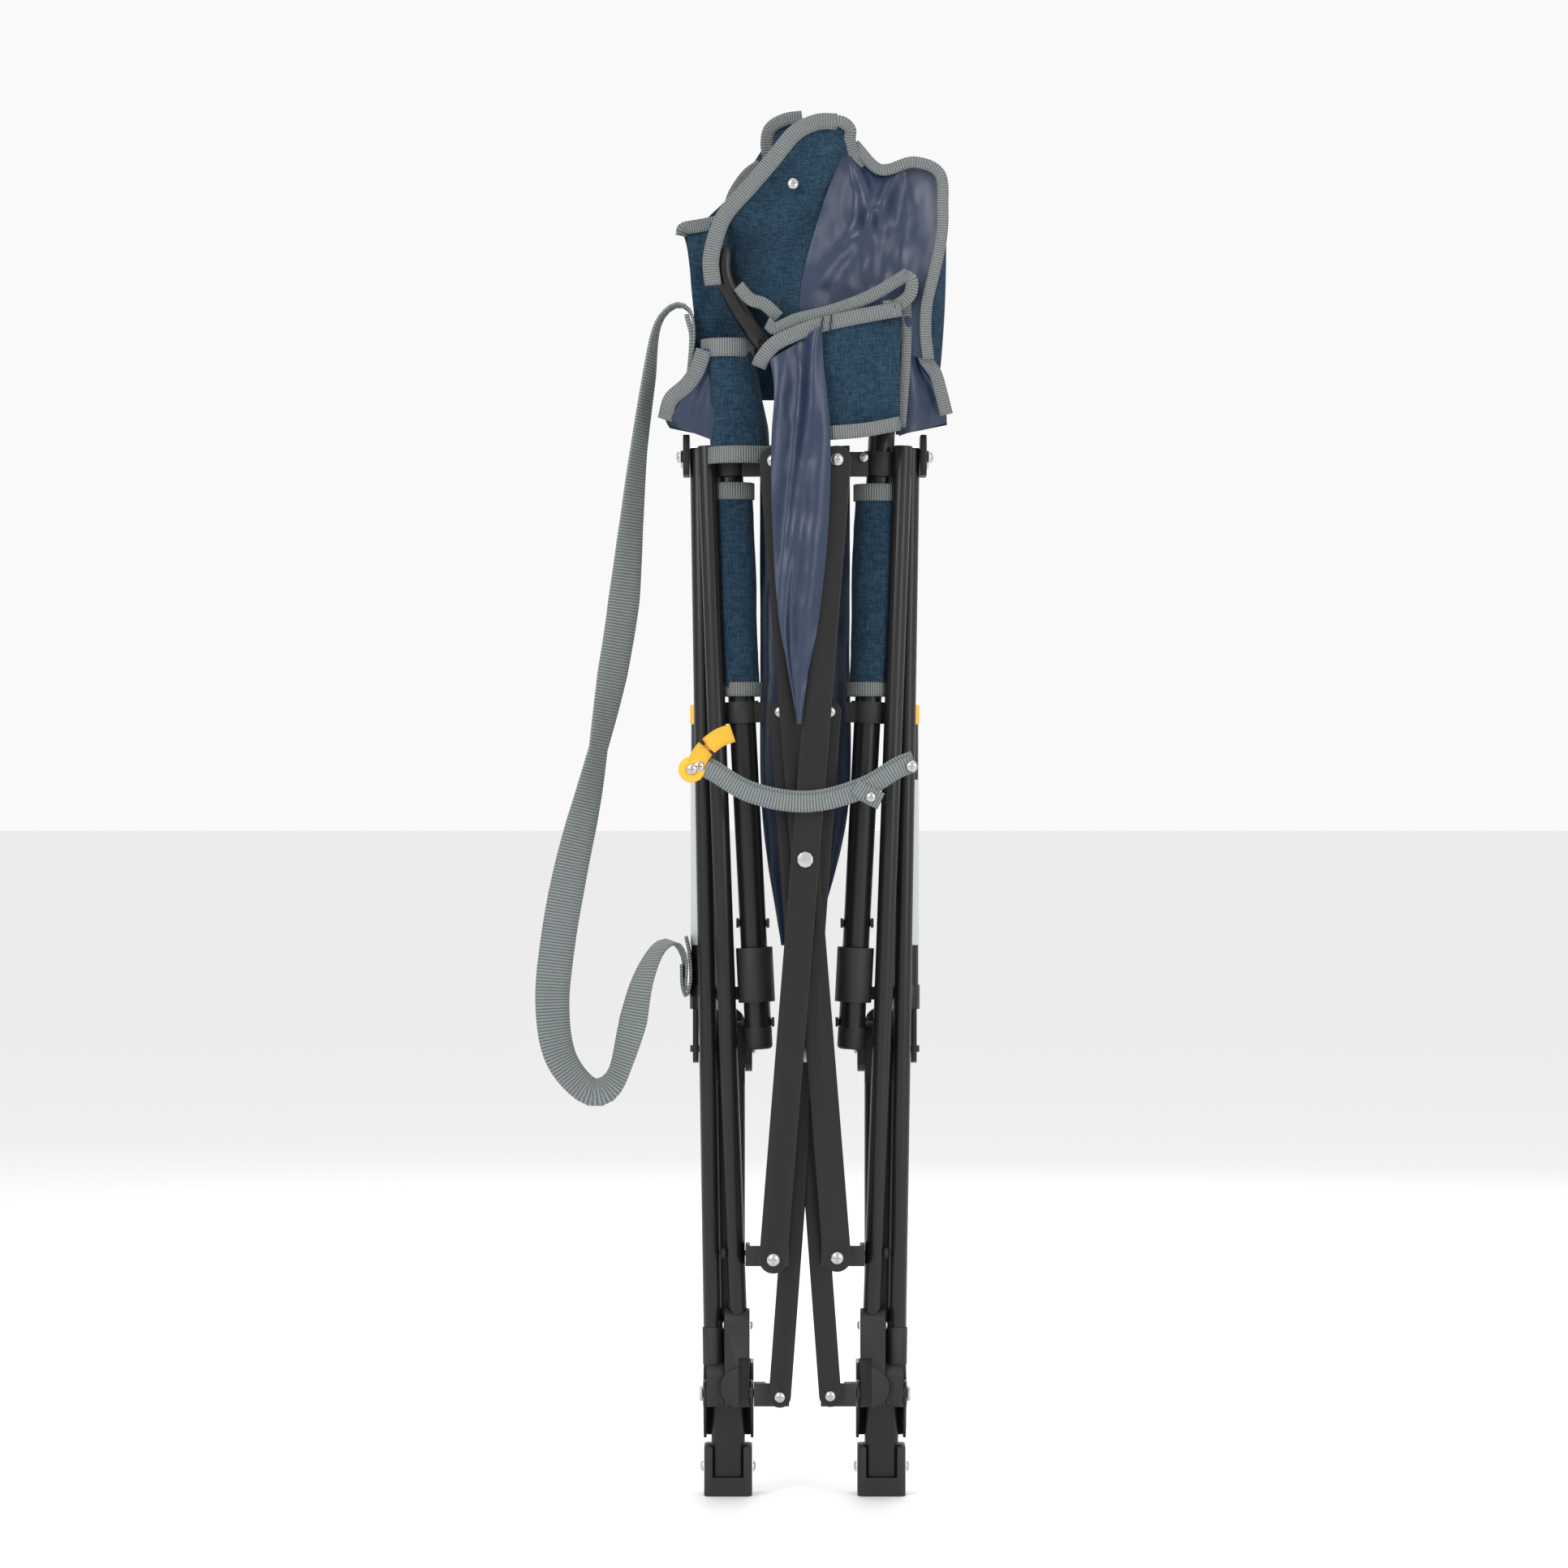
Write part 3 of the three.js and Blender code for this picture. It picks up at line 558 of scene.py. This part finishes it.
# %% Moulded and pressed pieces
for side, _ in SIDES:
    for piece, body in (("foot_boot", "rail_frame"), ("rear_boot", "rail_frame"),
            ("front_boot", "front_frame"), ("rear_leg_boot", "upright"), ("strut_plate", "upright"),
            ("slide_ring", "strut"), ("stop_pin_lower", "post"), ("stop_pin_upper", "post"),
            ("upper_clamp", "post"), ("lower_clamp", "post"),
            ("upper_bracket", "upper_angle"), ("lower_bracket", "lower_angle")):
        refined(f"{side}_{piece}", f"{side}_{body}", PLASTIC, "black_plastic", 0.7, 2, 32)
    refined(f"{side}_hub_bracket", f"{side}_rail_frame", GLOSS_STEEL, "black_steel", 0.4)
    refined(f"{side}_hub_pin", f"{side}_upright", ZINC, "zinc", 0.5)
    refined(f"{side}_gas_cylinder", f"{side}_strut", GLOSS_STEEL, "black_steel", 0.4, 2, 40)
    refined(f"{side}_cylinder_cap", f"{side}_strut", YELLOW, "yellow_plastic", 1.0, 3, 40)
    refined(f"{side}_piston_rod", f"{side}_rod", CHROME, "chrome", 0.2, 2, 40)
for which in ("upper", "lower"):
    refined(f"{which}_rivet", f"{which}_front_bar", ZINC, "zinc", 0.5)
    for place in ("front", "rear"):
        refined(f"{which}_{place}_bar", f"{which}_{place}_bar", GLOSS_STEEL, "black_steel",
            2.4 if which == "upper" else 1.2, 4, 50)
back_tube = refined("back_tube", "left_post", GLOSS_STEEL, "black_steel", 0)
modify(back_tube, "SUBSURF", levels=1, render_levels=1)
smooth(back_tube, 60)
print("hard pieces done")


# %% [markdown]
# ## Rivets and screws
# One domed head is modelled with a cross recess and copied to every place. Each copy rides on the
# piece that it fastens.


# %% One head, then many copies
def make_head():
    bpy.ops.object.select_all(action="DESELECT")
    bpy.ops.mesh.primitive_uv_sphere_add(segments=24, ring_count=12, radius=1)
    dome = new_piece("head_template")
    only(dome)
    bpy.ops.object.mode_set(mode="EDIT")
    bpy.ops.mesh.select_all(action="SELECT")
    bpy.ops.mesh.bisect(plane_co=(0, 0, -0.02), plane_no=(0, 0, 1), clear_inner=True, use_fill=True)
    bpy.ops.mesh.select_all(action="SELECT")
    bpy.ops.transform.resize(value=(1, 1, 0.55))
    bpy.ops.object.mode_set(mode="OBJECT")
    for turn in (0, math.pi / 2):
        bpy.ops.object.select_all(action="DESELECT")
        bpy.ops.mesh.primitive_cube_add(size=1, location=(0, 0, 0.55), rotation=(0, 0, turn))
        slot_cutter = new_piece("slot_cutter")
        slot_cutter.scale = (1.15, 0.2, 0.5)
        modify(dome, "BOOLEAN", object=slot_cutter, operation="DIFFERENCE")
        bpy.data.objects.remove(slot_cutter)
    return dome


HEAD = make_head()


def head(name, place, direction, radius, body, mat=None):
    obj = HEAD.copy()
    obj.data = HEAD.data.copy()
    obj.name = name
    bpy.context.scene.collection.objects.link(obj)
    turn = Vector(direction).to_track_quat("Z", "Y").to_matrix().to_4x4()
    obj.data.transform(Matrix.Translation(point(*place)) @ turn @ Matrix.Scale(radius * MM, 4))
    obj.data.materials.append(mat or ZINC)
    smooth(obj, 30)
    return trim(obj, body, "zinc")


# %% Where the heads go
FRONT = (0, -1, 0)
for side, s in SIDES:
    out = (s, 0, 0)
    inward = (-s, 0, 0)
    heads = (
        ("foot_rivet_out", (s * 70.4, 30, 20.5), out, 4, "rail_frame"),
        ("foot_rivet_in", (s * 37.2, 30, 20.5), inward, 4, "rail_frame"),
        ("boot_rivet_out", (s * 71.2, 30, 303), out, 4, "rail_frame"),
        ("boot_rivet_in", (s * 37.2, 36, 313), inward, 4.2, "strut"),
        ("leg_rivet_in", (s * 38.8, 8, 121.5), inward, 3.4, "front_frame"),
        ("leg_rivet_out", (s * 55.8, 8, 121.5), out, 3.4, "front_frame"),
        ("plate_screw", (s * 87, 36, 729), out, 4.5, "upright"),
        ("plate_rivet", (s * 85, 20, 722), out, 2.4, "upright"),
        ("clamp_screw", (s * 41, -3.4, 726), FRONT, 3.4, "post"),
        ("strap_screw", (s * 73, -50.6, 511), FRONT, 4, "post"),
    )
    for name, place, direction, radius, body in heads:
        head(f"{side}_{name}", place, direction, radius, f"{side}_{body}")
# Each scissor's pivots: distance from the middle, low and high ends, and the front of each bar.
SCISSORS = (
    {"which": "upper", "x": 22, "low": 172, "high": 722, "pin": -44.4, "front": -43, "rear": -30,
        "radius": 4.6},
    {"which": "lower", "x": 17.5, "low": 74, "high": 549, "pin": -14, "front": -12.9, "rear": -7.9,
        "radius": 3.8},
)
for k in SCISSORS:
    head(f"{k['which']}_low_left", (-k["x"], k["pin"], k["low"]), FRONT, k["radius"],
        f"{k['which']}_front_bar")
for k in SCISSORS:
    front, rear = f"{k['which']}_front_bar", f"{k['which']}_rear_bar"
    head(f"{k['which']}_high_right", (k["x"], k["front"], k["high"]), FRONT, k["radius"], front)
    head(f"{k['which']}_low_right", (k["x"], k["rear"], k["low"]), FRONT, k["radius"], rear)
    head(f"{k['which']}_high_left", (-k["x"], k["rear"], k["high"]), FRONT, k["radius"], rear)
head("eyelet_screw", (45, -52.6, 490), FRONT, 3.6, "right_post")

# %% The yellow disc on the left and the plain labels on the struts
disc = round_bar("yellow_disc", (-78, -48, 509), (-78, -52, 509), 9, 1.2)
disc.data.materials.append(YELLOW)
trim(disc, "left_post", "yellow_plastic")
head("disc_screw", (-78, -51.8, 509), FRONT, 4, "left_post")

# The strut cylinder's middle, and its label's ends and radius, in millimetres.
CYLINDER_X, CYLINDER_Y = 72, 36
LABEL_BOTTOM, LABEL_TOP = 386, 502
LABEL_RADIUS = 8.25


def strut_label(side, s):
    """A thin sleeve round the cylinder, with rounded ends."""
    label = round_bar(f"{side}_strut_label", (s * CYLINDER_X, CYLINDER_Y, LABEL_BOTTOM),
        (s * CYLINDER_X, CYLINDER_Y, LABEL_TOP), LABEL_RADIUS, 0.1)
    label.data.materials.append(LABEL)
    trim(label, f"{side}_strut", "zinc")


for side, s in SIDES:
    strut_label(side, s)


# %% [markdown]
# ## Cloth panels
# Each panel of the bunched cloth is a grid that is bent into place: its two side edges are given,
# the inside is filled between them, and folds are added by a formula and a little noise.
# Solidify then gives it the thickness of doubled cloth. The grey tape on its edges comes further down.


# %% Fill a grid between a left and a right edge
def along(points, t):
    """A point on a line of given points, smoothly, t from 0 to 1."""
    p = [Vector(q) for q in points]
    s = t * (len(p) - 1)
    k = min(int(s), len(p) - 2)
    a, b = p[max(k - 1, 0)], p[k]
    c, d = p[k + 1], p[min(k + 2, len(p) - 1)]
    f = s - k
    return 0.5 * ((2 * b) + (c - a) * f + (2 * a - 5 * b + 4 * c - d) * f * f
        + (3 * b - a - 3 * c + d) * f ** 3)


def panel(name, left, right, mat, bulge=4.0, fold=None, wrinkle=1.2, thick=1.4, columns=36, rows=48,
    seed=0):
    """left and right are lines of points in millimetres, top to bottom. bulge lifts the middle to the
    front, fold(u, t) adds a depth in millimetres, and wrinkle is the height of small creases."""
    bpy.ops.object.select_all(action="DESELECT")
    bpy.ops.mesh.primitive_grid_add(x_subdivisions=columns, y_subdivisions=rows, size=1)
    obj = new_piece(name)
    for v in obj.data.vertices:
        u, t = v.co.x + 0.5, 0.5 - v.co.y
        p = along(left, t).lerp(along(right, t), u)
        edge = math.sin(math.pi * min(max(u, 0), 1)) ** 0.7
        soft = noise.fractal(Vector((p.x / 26 + seed * 7.3, p.z / 40, seed)), 0.9, 2.1, 3)
        crease = noise.turbulence(Vector((p.x / 60 + seed, p.z / 55, seed * 3.1)), 3, False)
        p.y -= bulge * edge + wrinkle * edge * (2.2 * soft + 3.0 * (crease - 0.5))
        if fold:
            p.y -= fold(u, t)
        v.co = point(*p)
    only(obj)
    bpy.ops.object.mode_set(mode="EDIT")
    bpy.ops.mesh.select_all(action="SELECT")
    bpy.ops.mesh.normals_make_consistent(inside=False)
    bpy.ops.object.mode_set(mode="OBJECT")
    modify(obj, "SOLIDIFY", thickness=thick * MM, offset=0)
    smooth(obj, 70)
    obj.data.materials.append(mat)
    return obj


def dress(obj, slot, *nodes, body=None, held="gathered"):
    """Fixes a soft piece: on one body, or in place in the world between the two back posts."""
    if body:
        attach(obj, body)
    else:
        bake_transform(obj)
    if nodes:
        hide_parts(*nodes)
    return obj


# %% The backrest's front flap: heather cloth left of a seam, shiny lining right of it
FLAP_EDGE = ((22, -20, 957), (6, -24, 953), (-7, -28, 946), (-21, -30, 930), (-38, -30, 909),
    (-50, -28, 890), (-48, -12, 872), (-47, -10, 857), (-43, -12, 842), (-26, -16, 822))
FLAP_SEAM = ((29, -16, 950), (27, -22, 938), (21, -28, 924), (15, -31, 908), (10, -33, 893), (5, -34, 876),
    (0, -35, 858), (-3, -35, 843), (-4, -35, 830), (-5, -34, 815))
RIGHT_EDGE = ((33, -14, 942), (51, -18, 924), (74, -20, 929), (92, -20, 921), (94, -24, 897),
    (93, -26, 876), (88, -28, 852), (83, -30, 831), (82, -30, 811), (84, -28, 792))


def flap_fold(u, t):
    return 4.0 * math.sin(9 * u + 4.5 * t) * math.sin(math.pi * t) ** 2


def lining_fold(u, t):
    ray = (math.exp(-((u - 0.12 - 0.62 * t) / 0.06) ** 2)
        + 0.9 * math.exp(-((u - 0.95 + 1.1 * t) / 0.08) ** 2))
    knot = math.exp(-((u - 0.55) / 0.1) ** 2 - ((t - 0.42) / 0.07) ** 2)
    return (5.5 * ray * math.sin(math.pi * min(1, t * 1.2))
        + 4.5 * knot - 9 * math.sin(math.pi * u) * (1 - t))


dress(panel("backrest_flap", FLAP_EDGE, FLAP_SEAM, CLOTH, 3, flap_fold, seed=1), "heather_cloth",
    "back_cloth")
dress(panel("backrest_lining", FLAP_SEAM, RIGHT_EDGE, LINING, 1, lining_fold, 1.6, columns=60, rows=60,
    seed=2), "lining_cloth")

# %% The layers behind: the left panel, the right outer panel and the back of the bunch
dress(panel("backrest_left", ((-86, 0, 884), (-82, 0, 872), (-79, 0, 846), (-77, 0, 822), (-78, 0, 806),
    (-80, 0, 790)),
    ((-48, -8, 892), (-46, -8, 872), (-42, -8, 846), (-40, -6, 822), (-40, -4, 806), (-40, -4, 790)),
    CLOTH, 4, None, 1.8, seed=3), "heather_cloth")
dress(panel("backrest_right_outer",
    ((84, 6, 920), (86, 2, 890), (84, 0, 860), (80, -4, 830), (80, -6, 800), (82, -4, 780)),
    ((96, 18, 915), (98, 16, 890), (98, 14, 860), (97, 12, 830), (95, 10, 800), (93, 10, 780)), CLOTH, 3,
    None, 1.2, seed=4), "heather_cloth")
dress(panel("backrest_back", ((-25, 30, 952), (-50, 38, 915), (-78, 42, 884), (-76, 44, 850),
    (-76, 42, 815), (-78, 38, 770)),
    ((30, 28, 955), (60, 36, 924), (95, 40, 918), (97, 44, 880), (96, 42, 830), (94, 38, 770)),
    CLOTH, -6, lambda u, t: 7 * math.sin(11 * u + 2 * t), 2.2, columns=70, rows=50, seed=5),
    "heather_cloth")
dress(panel("backrest_tip", ((-4, 0, 962), (-16, 0, 960), (-26, 2, 950), (-26, 4, 930), (-24, 6, 910)),
    ((14, 6, 956), (10, 2, 952), (0, -4, 944), (-10, -8, 928), (-20, -12, 905)), CLOTH, 3, None, 1.0,
    seed=6), "heather_cloth")
dress(panel("backrest_crown", ((-24, 6, 948), (-40, 4, 918), (-60, 2, 898), (-78, 4, 880)),
    ((28, 26, 953), (40, 32, 930), (70, 38, 924), (94, 38, 918)), CLOTH, -3, None, 2.0, seed=7),
    "heather_cloth")


# %% Folded-back apron between the posts: rolled binding, heather front, shiny fold
APRON_TOP = ((-32, -40, 786), (-29, -44, 792), (-21, -46, 801), (-7, -46, 808), (10, -46, 814),
    (36, -44, 820), (66, -38, 826))
dress(panel("apron_front", ((10, -45, 812), (11, -46, 795), (13, -45, 770), (17, -44, 738)),
    ((66, -36, 824), (65, -36, 800), (65, -35, 770), (65, -35, 742)), CLOTH, 2.5, None, 1.1, seed=8),
    "heather_cloth", "right_upper_sleeve", body="right_post")


def hanging_fold(u, t):
    pleats = 4.5 * math.sin(7.5 * u + 3.2 * t + 0.6) * math.sin(math.pi * min(1.0, 0.15 + t))
    crossing = 4 * math.exp(-((u - 0.9 + 1.1 * t) / 0.12) ** 2)
    return pleats + crossing


centre_fold = panel("centre_hanging_fold",
    ((-24, -46, 790), (-21, -50, 770), (-23, -50, 740), (-23.5, -50, 712), (-22, -50, 670), (-20, -49, 630),
        (-16, -48, 600), (-10, -47, 570), (-5, -46, 540)),
    ((11, -47, 813), (12, -49, 790), (16, -50, 750), (17, -50, 715), (15, -50, 670), (11, -49, 630),
        (7, -48, 600), (1, -47, 570), (-3, -46, 540)),
    LINING, 2, hanging_fold, 0.8, columns=44, rows=90, seed=9)
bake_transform(centre_fold)
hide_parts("centre_fold")

seat = panel("seat_cloth_hanging", ((-31, 22, 736), (-31, 22, 600), (-30, 22, 480), (-16, 22, 386)),
    ((31, 22, 736), (31, 22, 600), (30, 22, 480), (6, 22, 386)), LINING, 0,
    lambda u, t: 3.5 * math.sin(13 * u + 2 * t), 1.0, columns=50, rows=80, seed=10)
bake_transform(seat)
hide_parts("seat_cloth")


# %% Sleeves: cloth tubes round the posts, and the flat apron sleeve on the left
def sleeve(name, stations, mat, seed, wrinkle=0.6):
    """stations lists (x, y, z, half width, half depth) from the top down, in millimetres."""
    bpy.ops.object.select_all(action="DESELECT")
    bpy.ops.mesh.primitive_cylinder_add(vertices=40, radius=1, depth=1, end_fill_type="NOTHING")
    obj = new_piece(name)
    only(obj)
    bpy.ops.object.mode_set(mode="EDIT")
    bpy.ops.mesh.select_all(action="SELECT")
    bpy.ops.mesh.subdivide(number_cuts=3)
    bpy.ops.object.mode_set(mode="OBJECT")
    modify(obj, "SUBSURF", levels=2, render_levels=2, subdivision_type="SIMPLE")
    for v in obj.data.vertices:
        t = 0.5 - v.co.z
        turn = math.atan2(v.co.y, v.co.x)
        s = t * (len(stations) - 1)
        k = min(int(s), len(stations) - 2)
        a, b, f = stations[k], stations[k + 1], s - k
        x, y, z, w, d = [p + (q - p) * f for p, q in zip(a, b)]
        n = noise.fractal(Vector((math.cos(turn) * 1.4 + seed, math.sin(turn) * 1.4, z / 22)), 0.9, 2.0, 3)
        grow = 1 + 0.06 * wrinkle * n
        squarish = (abs(math.cos(turn)) ** 4 + abs(math.sin(turn)) ** 4) ** -0.12
        v.co = point(x + w * grow * squarish * math.cos(turn), y + d * grow * squarish * math.sin(turn), z)
    modify(obj, "SOLIDIFY", thickness=0.8 * MM, offset=1)
    smooth(obj, 60)
    obj.data.materials.append(mat)
    return obj


LEFT_UPPER = ((-54.5, -6, 806, 15.5, 17), (-51, -6, 780, 18, 17), (-46.5, -6, 750, 19.5, 17),
    (-44, -6, 721, 20, 17))
RIGHT_UPPER = ((55, 8, 800, 14, 12.5), (53, 6, 770, 16, 13), (50, 4, 752, 17, 13))
dress(sleeve("left_upper_sleeve_cloth", LEFT_UPPER, CLOTH, 11), "heather_cloth", "left_upper_sleeve",
    body="left_post", held="folded")
dress(sleeve("right_upper_sleeve_cloth", RIGHT_UPPER, CLOTH, 12), "heather_cloth", body="right_post",
    held="folded")
LEFT_LOWER = ((-50.5, 10, 707, 12.6, 12.6), (-48, 10, 655, 13, 12.8), (-46, 10, 600, 12, 12.6),
    (-43.6, 10, 560, 11.6, 12.4))
RIGHT_LOWER = ((50, 10, 707, 13.4, 12.6), (48, 10, 655, 14.2, 12.8), (46, 10, 600, 13, 12.6),
    (43.6, 10, 560, 12, 12.4))
for side, stations, seed in (("left", LEFT_LOWER, 13), ("right", RIGHT_LOWER, 14)):
    dress(sleeve(f"{side}_lower_sleeve_cloth", stations, CLOTH, seed), "heather_cloth",
        f"{side}_lower_sleeve", body=f"{side}_post", held="folded")


# %% Arm cloths: the wings that stand out beside the posts
dress(panel("left_arm_wing", ((-70, -16, 800), (-75, -16, 785), (-88, -16, 770), (-96, -12, 756),
    (-93, -8, 748)),
    ((-62, -18, 800), (-62, -20, 785), (-62, -20, 770), (-62, -19, 752), (-60, -18, 736)), LINING, 3,
    lambda u, t: 3 * math.sin(6 * u), 0.8, seed=15), "heather_cloth", "left_arm_cloth", body="left_upright")
dress(panel("left_arm_back", ((-72, 6, 800), (-77, 10, 785), (-90, 14, 770), (-97, 16, 756),
    (-94, 18, 748)),
    ((-62, 24, 800), (-62, 28, 785), (-62, 30, 770), (-62, 30, 752), (-62, 28, 742)), CLOTH, -2, None,
    0.8, seed=16), "heather_cloth", body="left_upright")
dress(panel("right_arm_wing", ((69, -26, 815), (68, -24, 795), (67, -22, 775), (66, -20, 757),
    (65, -18, 740)),
    ((80, -24, 815), (82, -22, 790), (91, -18, 775), (97, -14, 760), (98, -10, 750)), LINING, 3,
    lambda u, t: 3 * math.sin(6 * u), 0.8, seed=17), "heather_cloth", "right_arm_cloth",
    body="right_upright")
dress(panel("right_arm_back", ((64, 24, 812), (64, 28, 790), (64, 30, 770), (64, 28, 744)),
    ((84, 10, 812), (88, 12, 790), (97, 16, 768), (99, 16, 750)), CLOTH, -2, None, 0.8, seed=18),
    "heather_cloth", body="right_upright")


# %% Grey bindings along the edges
FACING = ((0, -0.25, 1),)


def shifted(points, dx=0.0, dy=-1.6, dz=0.0):
    return [(x + dx, y + dy, z + dz) for x, y, z in points]


def bind(name, points, width=9, across=FACING, body=None, thick=2.0, steps=None):
    obj = band(name, points, width, thick, across, steps)
    return dress(obj, "grey_webbing", body=body)


DIAGONAL = ((-0.75, 0, 0.66), (-0.66, 0, 0.75), (-0.7, 0, 0.7), (-0.8, 0, 0.6), (-1, 0, 0.2))
DIAGONAL_LINE = ((22, -23, 957), (8, -27, 956), (-7, -31, 948), (-21, -33, 931), (-38, -34, 911),
    (-54, -34, 893), (-61, -33, 878), (-65, -32, 860), (-63.5, -31, 843))
bind("flap_binding", DIAGONAL_LINE, 11.5, ((0, -0.2, 1), (-0.4, 0, 0.9), *DIAGONAL, (-1, 0, 0)), steps=90)
bind("right_binding", shifted(RIGHT_EDGE, 1, -3), 8,
    ((0.3, 0, 1), (0.1, 0, 1), (0.1, 0, 1), (0.7, 0, 0.7), (1, 0, 0),
    (1, 0, 0.1), (1, 0, 0.2), (1, 0, 0), (1, 0, 0)), steps=90)
bind("crown_knot", ((14, -22, 955), (24, -24, 957), (31, -22, 952), (31, -20, 944), (34, -18, 934),
    (40, -18, 926)), 8.5, ((0, 0, 1), (0.5, 0, 1), (1, 0, 0.4), (1, 0, 0.2)), steps=40)
bind("tip_binding", ((-2, -2, 963), (-14, -3, 961), (-24, -2, 955), (-26.5, -1, 944), (-24, 0, 930)), 9,
    ((0, 0, 1), (-0.5, 0, 1), (-1, 0, 0.2), (-1, 0, 0)), steps=40)
bind("inner_arc", ((-31, -10, 929), (-41, -12, 921), (-50, -14, 907), (-53, -16, 894)), 8,
    ((0, 0, 1), (-0.8, 0, 0.6), (-1, 0, 0)), steps=36)
bind("left_panel_binding", ((-86, -4, 880), (-84, -5, 885), (-72, -8, 887), (-54, -12, 890)), 9, steps=30)
bind("flap_lower_binding", ((-46, -37, 842), (-38, -38, 833), (-28, -39, 829), (-18, -39, 820)), 9,
    steps=30)
bind("apron_roll", ((-26, -42, 816), (-20, -45, 812), (-6, -46, 818), (18, -46, 824), (44, -44, 834),
    (64, -40, 846), (70, -38, 850)), 9, steps=60)
bind("apron_loop", ((66, -38, 850), (73, -38, 846), (72, -38, 836), (64, -38, 829), (54, -40, 827)), 9,
    ((0.3, 0, 1), (1, 0, 0), (0.6, 0, -0.8), (0, 0, 1)), steps=40)
bind("apron_binding", shifted(APRON_TOP, 0, -2), 10.5,
    ((-1, 0, 0.4), (-0.5, 0, 0.9), (-0.2, 0, 1), (0, 0, 1), (0, 0, 1)), steps=80)
bind("apron_hem", ((17, -48, 740), (40, -47, 742), (65, -40, 747)), 10, body="right_post")
bind("apron_side", ((70, -30, 832), (70, -30, 800), (68, -30, 770), (66, -30, 745)), 7, ((1, 0, 0),),
    body="right_post")
for x in (11, 17):
    stitch = band(f"apron_stitch_{x}", ((x, -49.6, 806 + x / 4), (x + 1, -49.8, 817 + x / 4)), 0.9, 0.8,
        ((1, 0, 0),), steps=12, mat=THREAD)
    dress(stitch, "heather_cloth")
bind("left_wing_binding", ((-70, -22, 799), (-75, -22, 785), (-82, -21, 775), (-93, -19, 765),
    (-97, -12, 752)), 11,
    ((-0.9, 0, 0.3), (-0.7, 0, 0.7), (-0.5, 0, 0.9), (-0.8, 0, 0.5)), body="left_upright", steps=50)
bind("right_wing_binding", ((81, -28, 812), (82, -26, 795), (90, -22, 783), (94, -20, 770),
    (98, -16, 755)), 9,
    ((1, 0, 0.1), (0.9, 0, 0.3), (0.9, 0, 0.5), (1, 0, 0.3)), body="right_upright", steps=50)


# %% Hoops of binding at the sleeves' ends
def hoop(name, x, y, z, w, d, body, height=11):
    turns = [2 * math.pi * k / 12 for k in range(13)]
    ring = [(x + w * math.cos(a), y + d * math.sin(a), z) for a in turns]
    return bind(name, ring, height, ((0, 0, 1),), body, 1.6, 60)


hoop("left_upper_hem_top", -54, -6, 801, 18, 19.5, "left_post", 13)
hoop("left_upper_hem_low", -44.5, -6, 727, 22.4, 19.5, "left_post", 12)
hoop("left_lower_hem_top", -50.3, 10, 703, 14.4, 14.2, "left_post", 12)
hoop("right_lower_hem_top", 49.8, 10, 702, 15.2, 14.4, "right_post", 12)
hoop("left_lower_hem_low", -43.6, 10, 565, 13.2, 13.8, "left_post", 10)
hoop("right_lower_hem_low", 43.6, 10, 565, 13.6, 13.8, "right_post", 10)
head("backrest_snap", (-8.4, -38.5, 912), (0.1, -1, 0.1), 4, "left_post")
bpy.data.objects.remove(HEAD)
